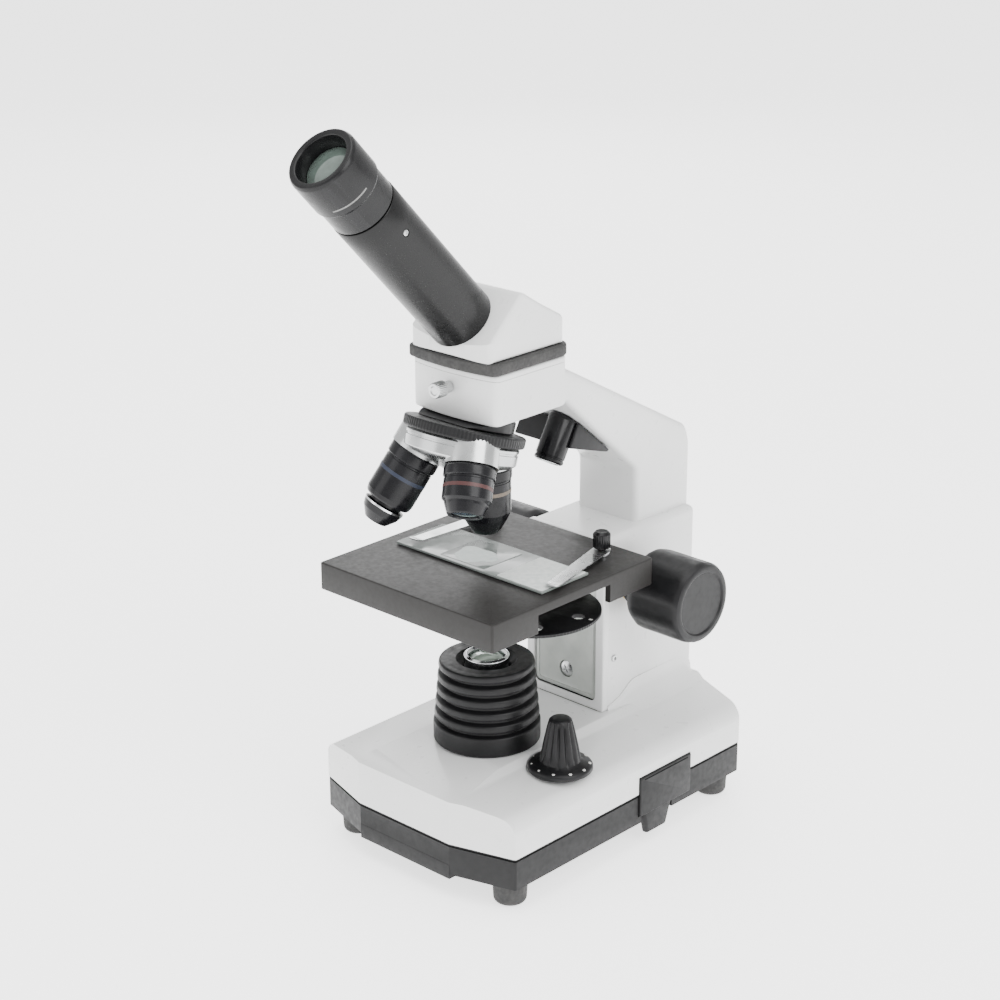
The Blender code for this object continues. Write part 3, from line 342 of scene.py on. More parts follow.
def cylinder(radius, z0, z1, matrix=None, steps=64):
    return lathe([(0, z1), (radius, z1), (radius, z0), (0, z0)], matrix, steps)


# ---------------------------------------------------------------- materials
class Surface:
    """A Principled material under construction, with textures in the piece's own coordinates."""

    def __init__(self, name, colour, roughness, metallic=0.0):
        self.material = bpy.data.materials.new(name)
        self.material.use_nodes = True
        self.tree = self.material.node_tree
        self.shader = self.tree.nodes["Principled BSDF"]
        self.set("Base Color", (*colour, 1.0))
        self.set("Roughness", roughness)
        self.set("Metallic", metallic)
        self.place = self.tree.nodes.new("ShaderNodeTexCoord").outputs["Object"]
        self.height = None

    def set(self, socket, value):
        self.shader.inputs[socket].default_value = value
        return self

    def node(self, kind, **values):
        made = self.tree.nodes.new(kind)
        for socket, value in values.items():
            target = made.inputs[socket.replace("_", " ")]
            if isinstance(value, bpy.types.NodeSocket):
                self.tree.links.new(value, target)
            else:
                target.default_value = value
        return made

    def stretched(self, scale):
        """The piece's coordinates, stretched, for grain that runs one way."""
        return self.node("ShaderNodeMapping", Vector=self.place, Scale=scale).outputs["Vector"]

    def noise(self, scale, detail=4.0, place=None):
        made = self.node("ShaderNodeTexNoise", Vector=place or self.place, Scale=scale, Detail=detail)
        return made.outputs["Fac"]

    def cells(self, scale):
        made = self.node("ShaderNodeTexVoronoi", Vector=self.place, Scale=scale)
        return made.outputs["Distance"]

    def ramp(self, factor, stops):
        """Colours along a factor. A stop is (position, colour)."""
        made = self.node("ShaderNodeValToRGB", Fac=factor)
        ramp = made.color_ramp
        while len(ramp.elements) < len(stops):
            ramp.elements.new(0.5)
        for element, (position, colour) in zip(ramp.elements, stops):
            element.position = position
            element.color = (*colour, 1.0)
        return made.outputs["Color"]

    def spread(self, factor, least, most):
        """A factor brought to a range of values."""
        made = self.node("ShaderNodeMapRange", Value=factor)
        made.inputs["From Min"].default_value = 0.3
        made.inputs["From Max"].default_value = 0.7
        made.inputs["To Min"].default_value = least
        made.inputs["To Max"].default_value = most
        return made.outputs["Result"]

    def drive(self, socket, source):
        self.tree.links.new(source, self.shader.inputs[socket])
        return self

    def tones(self, factor, *stops):
        """Drive the base colour along a factor. A stop is (position, colour)."""
        return self.drive("Base Color", self.ramp(factor, stops))

    def gloss(self, factor, least, most):
        """Drive the roughness along a factor, between two values."""
        return self.drive("Roughness", self.spread(factor, least, most))

    def bump(self, source, strength, distance):
        """Add a layer of relief."""
        made = self.node("ShaderNodeBump", Height=source, Strength=strength, Distance=distance)
        if self.height:
            self.tree.links.new(self.height, made.inputs["Normal"])
        self.height = made.outputs["Normal"]
        self.tree.links.new(self.height, self.shader.inputs["Normal"])
        return self

    def edges(self, low_edge, high_edge):
        """0 on faces and 1 on outer edges, where rubbed wear and a painted highlight are lightened in."""
        worn = self.node("ShaderNodeNewGeometry").outputs["Pointiness"]
        made = self.node("ShaderNodeMapRange", Value=worn)
        made.inputs["From Min"].default_value = low_edge
        made.inputs["From Max"].default_value = high_edge
        return made.outputs["Result"]


def shaded(colour, share):
    """A colour made darker or lighter."""
    return tuple(channel * share for channel in colour)


def white_paint():
    """Gloss enamel on a casting: a faint orange peel, slow changes of tone and fine dust."""
    tone = (0.70, 0.705, 0.70)
    surface = Surface("white_enamel", tone, 0.33)
    cloud = surface.noise(28, 5)
    surface.tones(cloud, (0.30, (0.665, 0.67, 0.665)), (0.70, (0.725, 0.73, 0.725)))
    surface.gloss(surface.noise(260, 6), 0.26, 0.40)
    surface.set("Coat Weight", 0.25)
    surface.set("Coat Roughness", 0.12)
    surface.bump(surface.noise(900, 3), 0.10, 0.0001)
    surface.bump(surface.noise(5200, 2), 0.05, 0.00003)
    return surface.material


def moulded(name, colour, roughness, grain=2600, relief=0.16, edge=1.8):
    """Injection-moulded plastic: a fine spark-eroded grain, uneven gloss, and outer edges lightened for
    rubbed wear and a painted highlight.
    """
    surface = Surface(name, colour, roughness)
    cloud = surface.noise(70, 6)
    base = surface.ramp(cloud, [(0.32, shaded(colour, 0.80)), (0.68, shaded(colour, 1.25))])
    # Outer edges lightened by the edge factor: rubbed wear, and a painted highlight along the bevels
    edge_wear_and_highlight_mix = surface.tree.nodes.new("ShaderNodeMix")
    edge_wear_and_highlight_mix.data_type = "RGBA"
    surface.tree.links.new(surface.edges(0.52, 0.62), edge_wear_and_highlight_mix.inputs["Factor"])
    surface.tree.links.new(base, edge_wear_and_highlight_mix.inputs[6])
    edge_wear_and_highlight_mix.inputs[7].default_value = (*shaded(colour, edge), 1.0)
    surface.drive("Base Color", edge_wear_and_highlight_mix.outputs[2])
    surface.gloss(surface.noise(420, 5), roughness - 0.07, roughness + 0.09)
    surface.set("Specular IOR Level", 0.24)
    surface.bump(surface.cells(grain), relief, 0.00006)
    surface.bump(surface.noise(240, 3), 0.06, 0.0001)
    return surface.material


def satin_black_paint(name, colour, roughness, grain=1500, relief=0.35):
    """Baked satin paint with a fine wrinkle, a little brown in the light."""
    surface = Surface(name, colour, roughness)
    cloud = surface.noise(55, 6)
    surface.tones(cloud, (0.30, shaded(colour, 0.93)), (0.70, shaded(colour, 1.07)))
    surface.gloss(surface.noise(600, 4), roughness - 0.04, roughness + 0.06)
    surface.set("Specular IOR Level", 0.24)
    surface.bump(surface.noise(grain, 5), relief, 0.00010)
    return surface.material


def rubber():
    """Matt black rubber with a fine uneven skin."""
    surface = Surface("black_rubber", (0.020, 0.020, 0.020), 0.72)
    surface.tones(surface.noise(160, 6), (0.30, (0.016, 0.016, 0.016)), (0.72, (0.034, 0.033, 0.032)))
    surface.gloss(surface.noise(900, 4), 0.62, 0.86)
    surface.bump(surface.cells(1900), 0.22, 0.00008)
    return surface.material


def polished(name, colour, roughness=0.10):
    """Plated metal: mirror gloss with faint haze and hairline scratches."""
    surface = Surface(name, colour, roughness, 1.0)
    surface.gloss(surface.noise(90, 6), roughness * 0.6, roughness * 2.2)
    scratches = surface.noise(60, 2, surface.stretched((40, 1, 12)))
    surface.bump(scratches, 0.04, 0.00004)
    return surface.material


def turned_metal(name, colour, roughness=0.28, along=(1, 1, 60)):
    """Machined metal with fine tool marks across one direction."""
    surface = Surface(name, colour, roughness, 1.0)
    marks = surface.noise(110, 3, surface.stretched(along))
    surface.tones(marks, (0.30, shaded(colour, 0.82)), (0.70, shaded(colour, 1.08)))
    surface.gloss(marks, roughness * 0.8, roughness * 1.5)
    surface.bump(marks, 0.12, 0.00005)
    return surface.material


def casting():
    """Bare die-cast alloy under a thin grey lacquer: soft sheen, fine grit and a few stains."""
    colour = (0.43, 0.45, 0.43)
    surface = Surface("grey_casting", colour, 0.42, 0.35)
    surface.tones(surface.noise(65, 7), (0.30, (0.36, 0.38, 0.36)), (0.70, (0.50, 0.52, 0.49)))
    surface.gloss(surface.noise(500, 5), 0.34, 0.52)
    surface.bump(surface.noise(2100, 4), 0.25, 0.00008)
    return surface.material


def clear_glass():
    """Clean optical glass, for the prism inside the head."""
    surface = Surface("window_glass", (0.97, 0.99, 0.98), 0.02)
    surface.set("Transmission Weight", 1.0)
    surface.set("IOR", 1.50)
    surface.gloss(surface.noise(120, 5), 0.0, 0.05)
    return surface.material


def ground_glass():
    """Slide glass: greenish soda-lime, with the haze of fine dust and finger marks."""
    surface = Surface("slide_glass", (0.60, 0.68, 0.64), 0.10)
    haze = surface.noise(60, 6)
    surface.tones(haze, (0.30, (0.20, 0.225, 0.213)), (0.70, (0.25, 0.272, 0.260)))
    surface.gloss(surface.noise(240, 5), 0.05, 0.22)
    surface.set("Transmission Weight", 0.15)
    surface.set("IOR", 1.50)
    return surface.material


def coated_lens(name, tint):
    """Dark optical glass with a coloured coating that shows in its reflection."""
    surface = Surface(name, tint, 0.04)
    surface.set("Coat Weight", 1.0)
    surface.set("Coat Roughness", 0.02)
    surface.set("Coat Tint", (0.90, 1.0, 0.95, 1.0))
    surface.set("Specular IOR Level", 0.8)
    surface.tones(surface.noise(160, 3), (0.35, shaded(tint, 0.75)), (0.65, shaded(tint, 1.25)))
    return surface.material


def enamel_line(name, colour):
    """A painted ring or mark, a little uneven as screen-printed ink is."""
    surface = Surface(name, colour, 0.45)
    surface.tones(surface.noise(900, 5), (0.25, shaded(colour, 0.70)), (0.60, colour))
    surface.bump(surface.noise(1800, 3), 0.15, 0.00005)
    return surface.material


def board_material():
    surface = Surface("circuit_board", (0.02, 0.16, 0.06), 0.38)
    tracks = surface.node("ShaderNodeTexBrick", Vector=surface.place, Scale=160.0)
    tracks.inputs["Color1"].default_value = (0.015, 0.14, 0.05, 1)
    tracks.inputs["Color2"].default_value = (0.02, 0.19, 0.07, 1)
    tracks.inputs["Mortar"].default_value = (0.05, 0.30, 0.12, 1)
    surface.drive("Base Color", tracks.outputs["Color"])
    surface.gloss(surface.noise(300, 4), 0.28, 0.46)
    surface.bump(tracks.outputs["Fac"], 0.2, 0.00005)
    return surface.material


def slide_paper():
    """The slide's frosted end and its label: matt, off-white, with a faint mottle."""
    surface = Surface("frosted_label", (0.80, 0.83, 0.80), 0.55)
    surface.tones(surface.noise(420, 6), (0.34, (0.50, 0.54, 0.52)), (0.50, (0.58, 0.61, 0.59)),
                  (0.66, (0.64, 0.66, 0.64)))
    surface.bump(surface.noise(2600, 4), 0.2, 0.00005)
    return surface.material


def stained_film():
    """The specimen under its cover glass: a pale teal stain with ragged tissue."""
    surface = Surface("stained_specimen", (0.35, 0.62, 0.55), 0.25)
    tissue = surface.noise(330, 8)
    surface.tones(tissue, (0.30, (0.10, 0.165, 0.140)), (0.50, (0.13, 0.190, 0.165)),
                  (0.66, (0.165, 0.215, 0.195)))
    surface.set("Coat Weight", 0.2)
    surface.set("Coat Roughness", 0.10)
    return surface.material


WHITE = white_paint()
# The last number of a moulded finish lightens its outer edges: rubbed wear and a painted highlight
BLACK_PLASTIC = moulded("black_moulded_plastic", (0.006, 0.006, 0.0065), 0.40)
PAN_PLASTIC = moulded("pan_plastic", (0.005, 0.005, 0.0053), 0.46, 2100, 0.06, 1.5)
KNOB_PLASTIC = moulded("knob_plastic", (0.0045, 0.0045, 0.005), 0.38, 3000, 0.12, 2.2)
GLOSS_BLACK = moulded("gloss_black", (0.004, 0.004, 0.0045), 0.18, 3400, 0.05, 2.5)
STAGE_PAINT = satin_black_paint("stage_paint", (0.015, 0.0142, 0.0135), 0.46, 1500, 0.15)
TUBE_PAINT = satin_black_paint("tube_paint", (0.004, 0.004, 0.0042), 0.28, 2200, 0.03)
ANODISED = moulded("black_anodised", (0.004, 0.004, 0.005), 0.24, 3600, 0.08, 2.6)
RUBBER = rubber()
CHROME = polished("chrome_plate", (0.78, 0.79, 0.81))
SPRING_STEEL = polished("spring_steel", (0.66, 0.67, 0.67), 0.20)
STEEL = turned_metal("machined_steel", (0.58, 0.59, 0.59))
SHAFT_STEEL = turned_metal("shaft_steel", (0.60, 0.61, 0.61), 0.22, (60, 1, 1))
BRASS = turned_metal("turned_brass", (0.72, 0.53, 0.22))
CASTING = casting()
GLASS = clear_glass()
SLIDE_GLASS = ground_glass()
TURRET_METAL = polished("nickel_plate", (0.50, 0.51, 0.51), 0.20)
EYE_PLASTIC = moulded("eyepiece_plastic", (0.006, 0.006, 0.0065), 0.26, 2800, 0.14, 1.7)
EYE_GLASS = coated_lens("eye_lens_glass", (0.085, 0.100, 0.092))
LENS_GLASS = coated_lens("front_lens_glass", (0.030, 0.036, 0.050))
LAMP_GLASS = coated_lens("lamp_glass", (0.42, 0.44, 0.40))
BOARD = board_material()
CELL_WRAP = moulded("cell_wrap", (0.10, 0.12, 0.15), 0.30, 900, 0.05)
LABEL = slide_paper()
SPECIMEN = stained_film()
WHITE_INK = enamel_line("white_ink", (0.60, 0.60, 0.58))
GREY_INK = enamel_line("grey_ink", (0.17, 0.17, 0.165))
RED_INK = enamel_line("red_ink", (0.050, 0.010, 0.009))
YELLOW_INK = enamel_line("yellow_ink", (0.13, 0.10, 0.07))
BLUE_INK = enamel_line("blue_ink", (0.005, 0.011, 0.030))

# ---------------------------------------------------------------- base
DECK = high("base_shell").z
FRONT = low("base_shell").y
BACK = high("base_shell").y
HALF = high("base_shell").x
BULGE_HALF = 0.0240              # the base's two ends bulge over this half width
FRONT_SET_BACK = 0.0079          # how far its front and back corners lie behind the bulge
BACK_SET_BACK = 0.0072
WING_DROP = 0.0052               # the wings' outer edge below the deck
RIDGE_HALF = 0.0225              # the raised deck and the foot of its step
STEP_HALF = 0.0262
STEP_DROP = 0.0022
NOSE_FALL = 0.0030               # the deck falls this much towards the front
NOSE_LENGTH = 0.0310
BASE_CORNER = 0.0012             # how the corners of its plan are rounded
BULGE_CORNER = 0.0008
SHELL_WALL = 0.0024
PAN_WALL = 0.0025
AIR = 0.0003                     # the gap between neighbouring pieces
FAR = 0.2                        # beyond the stand's parts, for cutters
LIGHT_BORE = 0.0080              # radius of the light's way through the arm, the stage and the turret
TURRET_BORE = 0.0020             # radius of the way for the turret's centre screw


def base_plan(inset):
    """The base's plan, moved in by an inset."""
    half, front, back = HALF - inset, FRONT + inset, BACK - inset
    right = [
        (BULGE_HALF, front, BULGE_CORNER),
        (half, FRONT + FRONT_SET_BACK + inset, BASE_CORNER),
        (half, BACK - BACK_SET_BACK - inset, BASE_CORNER),
        (BULGE_HALF, back, BULGE_CORNER),
    ]
    left = [(-x, y, radius) for x, y, radius in reversed(right)]
    return rounded(right + left, closed=True)


def base_solid(inset, floor):
    """The white cover's outer form, moved in by an inset."""
    half, deck = HALF - inset, DECK - inset
    right = [
        (half, floor),
        (half, deck - WING_DROP, 0.0075),
        (STEP_HALF - inset / 2, deck - STEP_DROP, 0.0040),
        (RIDGE_HALF - inset / 2, deck, 0.0018),
    ]
    left = [(-point[0], *point[1:]) for point in reversed(right)]
    body = prism(base_plan(inset), floor, DECK + 0.01)
    section = slab(right + left, -FAR, FAR, "y", 8)
    front = FRONT + inset
    fall = [(front - 0.01, floor), (front - 0.01, deck - NOSE_FALL * 1.3),
            (front + NOSE_LENGTH, deck + 0.0001, 0.06), (FAR, deck + 0.0001), (FAR, floor)]
    slope = slab(fall, -FAR, FAR, "x", 8)
    return combine(body, "INTERSECT", section, slope)


def drawer_way(margin):
    """A cutter for the space that the drawer slides out through."""
    least, most = low("battery_drawer"), high("battery_drawer")
    floor = low("battery_cell_1").z - 0.0012
    return block((least.x - margin, least.y - margin, floor - margin),
                 (most.x + 0.01, most.y + margin, most.z + margin))


def make_base_shell():
    floor = low("base_shell").z
    shell = bevel(base_solid(0, floor), 0.0024, 5, 42)
    dial, dial_radius, _ = on_axis("dimmer_knob", AXIS_Z)
    seat = cylinder(dial_radius + 0.0007, low("dimmer_knob").z - 0.0004, DECK + 0.01,
                    moved(dial.translation.x, dial.translation.y - OPTICAL.y))
    slot = block((-0.0172, high("guide_rail_left").y - 0.0127, floor + 0.004),
                 (0.0172, high("guide_rail_left").y + 0.0007, DECK + 0.01))
    hollow = base_solid(SHELL_WALL, floor - 0.004)
    cut(shell, hollow, seat, slot, drawer_way(0.0003))
    reframe(shell, STAND)
    stand_for(shell, "shell_cover", WHITE, "base_shell", angle=28)


def make_base_pan():
    """The black pan, with the deeper middle of its front and back and a shadow line under the cover."""
    least, most = low("base_pan"), high("base_pan")
    step = 0.0019
    upper = prism(base_plan(0.0002), least.z, most.z)
    skirt = prism(base_plan(0.0001), least.z - step, least.z + 0.004)
    for side in (-1, 1):
        outside = sorted((side * BULGE_HALF, side * FAR))
        cut(skirt, block((outside[0], -FAR, -0.01), (outside[1], FAR, 0.05)))
    cut(skirt, block((-FAR, FRONT + 0.004, -0.01), (FAR, BACK - 0.004, 0.05)))
    pan = bevel(join(upper, skirt), 0.0007, 3, 42)
    groove = prism(base_plan(-0.002), most.z - 0.0009, most.z - 0.0003)
    cut(groove, prism(base_plan(0.0007), 0, 0.05))
    hollow = prism(base_plan(PAN_WALL), least.z + PAN_WALL, 0.05)
    lip_low, lip_high = low("battery_drawer"), high("battery_drawer")
    lip_way = block((lip_high.x - 0.0042, lip_low.y + 0.0017, -0.01),
                    (lip_high.x + 0.01, lip_high.y - 0.0107, low("battery_cell_1").z))
    cut(pan, groove, hollow, drawer_way(0.0003), lip_way)
    reframe(pan, STAND)
    stand_for(pan, "bottom_pan", PAN_PLASTIC, "base_pan", angle=28)


def make_feet():
    """Four turned rubber feet with a dished sole."""
    for node in ("foot_front_left", "foot_front_right", "foot_rear_left", "foot_rear_right"):
        place, radius, length = on_axis(node, AXIS_Z)
        rim = radius - 0.0004
        profile = [(0, 0), (radius, 0, 0.0003), (rim, -0.0035), (rim - 0.0003, -length + 0.0012, 0.0020),
                   (rim - 0.0030, -length, 0.0010), (rim - 0.0036, -length + 0.0006, 0.0004),
                   (0, -length + 0.0006)]
        foot = lathe(rounded(profile), place, 72)
        stand_for(foot, f"rubber_{node}", RUBBER, node)


# ---------------------------------------------------------------- battery drawer
def make_drawer():
    """The drawer: a tray, a front that stands over the pan's rim, and the finger lip below."""
    least, most = low("battery_drawer"), high("battery_drawer")
    floor = low("battery_cell_1").z - 0.0012
    wall = 0.0009
    face_x = most.x
    tray = block((least.x, least.y, floor), (face_x - 0.0038, most.y, most.z - 0.0015), 0.0008)
    room = block((least.x + 0.0010, least.y + wall, floor + wall),
                 (face_x - 0.0050, most.y - wall, FAR), 0.0006)
    cut(tray, room)
    front = bevel(block((face_x - 0.0040, least.y, floor - 0.0001), (face_x, most.y, most.z)), 0.0006, 3)
    groove = block((face_x - 0.0007, least.y + 0.0024, most.z - 0.0013),
                   (face_x + 0.01, most.y - 0.0024, most.z - 0.0008))
    lip_plan = [(face_x - 0.0034, least.y + 0.0020), (face_x - 0.0001, least.y + 0.0020, 0.0015),
                (face_x - 0.0001, most.y - 0.0110, 0.0015), (face_x - 0.0034, most.y - 0.0110)]
    lip = slab(lip_plan, least.z, floor + 0.0020)
    for vert in lip.data.vertices:
        if vert.co.z < least.z + 0.001:
            vert.co.y += 0.0030 if vert.co.y < (least.y + most.y) / 2 - 0.003 else -0.0030
            vert.co.x -= 0.0006 if vert.co.x > face_x - 0.0020 else 0
    lip = bevel(lip, 0.0009, 3, 35)
    drawer = join(tray, cut(front, groove), lip)
    reframe(drawer, STAND)
    stand_for(drawer, "drawer_front_and_tray", PAN_PLASTIC, "battery_drawer", angle=28)


def make_cells():
    """The two cells in the drawer."""
    for number, node in enumerate(("battery_cell_1", "battery_cell_2"), start=1):
        place, _, length = on_axis(node, AXIS_X)
        radius = (high(node).z - low(node).z) / 2
        body = [(0, -0.0010), (0.0060, -0.0010), (radius, -0.0025, 0.0006),
                (radius, -length + 0.0003, 0.0006), (0.0050, -length), (0, -length)]
        cap = [(0, 0), (0.0025, 0, 0.0004), (0.0025, -0.0012), (0, -0.0012)]
        wrap = lathe(rounded(body), place, 48)
        stand_for(wrap, f"cell_{number}_wrap", CELL_WRAP, node)
        add_detail(lathe(rounded(cap), place, 32), f"cell_{number}_contact", STEEL, node)
        band = [(radius + 0.00005, -0.0120), (radius + 0.00005, -0.0150), (radius - 0.0003, -0.0150),
                (radius - 0.0003, -0.0120)]
        add_detail(lathe(band, place, 48, closed=True), f"cell_{number}_band", YELLOW_INK, node)


# ---------------------------------------------------------------- illuminator
RIBS = 5


def make_illuminator():
    """The lamp's ribbed housing. Each rib swells a little and is cut off by a deep groove."""
    least, most = low("illuminator_body"), high("illuminator_body")
    bottom_radius, top_radius = most.x, 0.0187
    band = 0.0080
    pitch = (most.z - least.z - band) / RIBS
    groove = 0.0020
    outer = [(0.0105, most.z - 0.0022), (0.0118, most.z - 0.0004, 0.0005),
             (0.0150, most.z - 0.0006, 0.0006)]
    for rib in range(RIBS):
        top = most.z - rib * pitch
        radius = top_radius + (bottom_radius - top_radius) * rib / RIBS
        outer.append((radius - 0.0002, top - 0.0004, 0.0010))
        outer.append((radius + 0.0001, top - pitch + 0.0020, 0.0008))
        outer.append((radius - groove, top - pitch + 0.0012, 0.0003))
        outer.append((radius - groove, top - pitch + 0.0003, 0.0003))
    outer.append((bottom_radius, least.z + band - 0.0002, 0.0008))
    outer.append((bottom_radius, least.z + 0.0004, 0.0004))
    outer.append((bottom_radius - 0.0005, least.z))
    inner = [(0.0160, least.z), (0.0150, most.z - 0.0060), (0.0095, most.z - 0.0045),
             (0.0092, most.z - 0.0030)]
    body = lathe(rounded(outer) + inner, STAND, 128, closed=True)
    stand_for(body, "ribbed_lamp_housing", BLACK_PLASTIC, "illuminator_body", angle=30)

    place, radius, length = on_axis("illuminator_lens_ring", AXIS_Z)
    ring = [(radius, -0.0006, 0.0004), (radius, -length), (radius - 0.0020, -length),
            (radius - 0.0020, -0.0010, 0.0003), (radius - 0.0012, 0, 0.0003)]
    stand_for(turned_ring(ring, place, 96), "lamp_lens_ring", CHROME,
              "illuminator_lens_ring")
    place, radius, length = on_axis("illuminator_lens", AXIS_Z)
    dome = [(radius * sin(radians(step * 9)), -0.0021 * (1 - cos(radians(step * 9)))) for step in range(11)]
    dome += [(radius, -length), (0, -length)]
    stand_for(lathe(dome, place, 96), "lamp_lens", LAMP_GLASS, "illuminator_lens")


# ---------------------------------------------------------------- brightness dial
FLUTES = 13
FLUTE_DEPTH = 0.00085
DOTS = 10


def make_dial():
    """The brightness dial: a fluted cone on a round skirt with growing dots."""
    place, radius, length = on_axis("dimmer_knob", AXIS_Z)
    skirt_top = -length + 0.0026

    def fluted(reach, z, angle):
        if z < skirt_top + 0.0010 or z > -0.0012 or reach < 0.0028:
            return reach
        run_in = min(1, (z - skirt_top - 0.0010) / 0.0030)
        run_out = min(1, (-0.0012 - z) / 0.0020 + 0.35)
        return reach - FLUTE_DEPTH * run_in * run_out * (0.5 + 0.5 * cos(FLUTES * angle)) ** 2

    cone = []
    rise = skirt_top + 0.0014
    for step in range(15):
        share = step / 14
        cone.append((0.0044 + 0.0036 * share ** 0.85, -0.0010 + (rise + 0.0010) * share))
    profile = [(0, -0.0001), (0.0030, -0.0001), (0.0038, -0.0004), *cone, (0.0094, skirt_top + 0.0006),
               (0.0112, skirt_top + 0.0002), (radius - 0.0004, skirt_top - 0.0003),
               (radius, skirt_top - 0.0009), (radius, -length + 0.0004), (radius - 0.0004, -length),
               (0.0033, -length), (0.0033, -0.0070), (0, -0.0070)]
    stand_for(lathe(profile, place, 182, shape=fluted), "fluted_dial", KNOB_PLASTIC, "dimmer_knob",
              angle=38)
    dots = []
    for step in range(DOTS):
        angle = radians(-150 + step * 300 / (DOTS - 1)) - pi / 4
        reach = radius - 0.0016
        at = moved(reach * cos(angle), reach * sin(angle), skirt_top + 0.00005)
        size = 0.00045 + 0.00007 * step
        dots.append(lathe([(0, 0.00025), (size * 0.8, 0.00022), (size, 0), (size, -0.0004), (0, -0.0004)],
                          at, 24))
    add_detail(reframe(gather(*dots), place), "dial_dots", WHITE_INK, "dimmer_knob")


# ---------------------------------------------------------------- arm
COLUMN_FRONT = 0.0452            # the lower column, its front frame and its hollow for the stage drive
COLUMN_HALF = 0.0205
COLUMN_HALF_REAR = 0.0200
FRAME_DEPTH = 0.0034
FRAME_CORNER = 0.0015
LEDGE_Z = 0.1173
CHANNEL_HALF = 0.0165
CHANNEL_BACK = 0.0586
CHANNEL_TOP = 0.1152
UPPER_FRONT = 0.0697             # the slim upper column and the slope under the head
UPPER_HALF = 0.0155
UPPER_HALF_REAR = 0.0165
ELBOW = (0.0225, 0.1790)
ELBOW_FOOT_Z = 0.1395
SHOULDER_Z = 0.1510
BLOCK_HALF = 0.0215              # the head block
BLOCK_FRONT = -0.0185
BLOCK_BACK = 0.0230
BLOCK_TOP = 0.1982
SHAFT_Y, SHAFT_Z = 0.0623, 0.0962
LOCK_Z = 0.1910
SET_SCREW_AT = (COLUMN_HALF - 0.0004, 0.0524, 0.0657)
SEAM_LOW, SEAM_HIGH = 0.19590, 0.19615       # the groove round the head block
FLARE_START = 0.0486             # the flare at the column's foot, along Y
FLARE_GROWN = 0.0660
FLARE_LEAST = 0.0008
FLARE_MOST = 0.0110
FLARE_ROWS = 28
FLARE_ARC = 9


def web_half(y):
    """Half width of the arm's web at a depth."""
    if y <= ELBOW[0]:
        return BLOCK_HALF - 0.0007
    if y <= UPPER_FRONT:
        share = (y - ELBOW[0]) / (UPPER_FRONT - ELBOW[0])
        return BLOCK_HALF - 0.0007 + (UPPER_HALF - BLOCK_HALF + 0.0007) * share
    return UPPER_HALF + (UPPER_HALF_REAR - UPPER_HALF) * (y - UPPER_FRONT) / (high("arm").y - UPPER_FRONT)


def wing_z(x):
    """Height of the base's wing at a distance from its middle."""
    share = max(0, (x - STEP_HALF) / (HALF - STEP_HALF))
    if x < RIDGE_HALF:
        return DECK
    if x < STEP_HALF:
        return DECK - STEP_DROP * (x - RIDGE_HALF) / (STEP_HALF - RIDGE_HALF)
    return DECK - STEP_DROP - (WING_DROP - STEP_DROP) * share


def make_flare(side, back):
    """A concave fillet from the column's side down to the wing. It grows towards the back."""
    rows = []
    for step in range(FLARE_ROWS + 1):
        y = FLARE_START + (back - FLARE_START) * step / FLARE_ROWS
        share = min(1, (y - FLARE_START) / (FLARE_GROWN - FLARE_START))
        reach = FLARE_LEAST + (FLARE_MOST - FLARE_LEAST) * share * share * (3 - 2 * share)
        tail = max(0, (y - back + 0.0050) / 0.0050)
        reach *= sqrt(max(0.12, 1 - tail * tail * 0.9))
        column = COLUMN_HALF + (COLUMN_HALF_REAR - COLUMN_HALF) * (y - COLUMN_FRONT) / (back - COLUMN_FRONT)
        foot = column + reach
        floor = wing_z(foot) - 0.0002
        row = [(column - 0.0030, floor - 0.0010), (column - 0.0030, floor + reach + 0.0010),
               (column - 0.0001, floor + reach + 0.0010)]
        for index in range(FLARE_ARC + 1):
            angle = pi / 2 * index / FLARE_ARC
            row.append((column + reach * (1 - cos(angle)), floor + reach * (1 - sin(angle))))
        row.append((foot, floor - 0.0010))
        rows.append([(side * x, y, z) for x, z in row])
    return loft(rows)


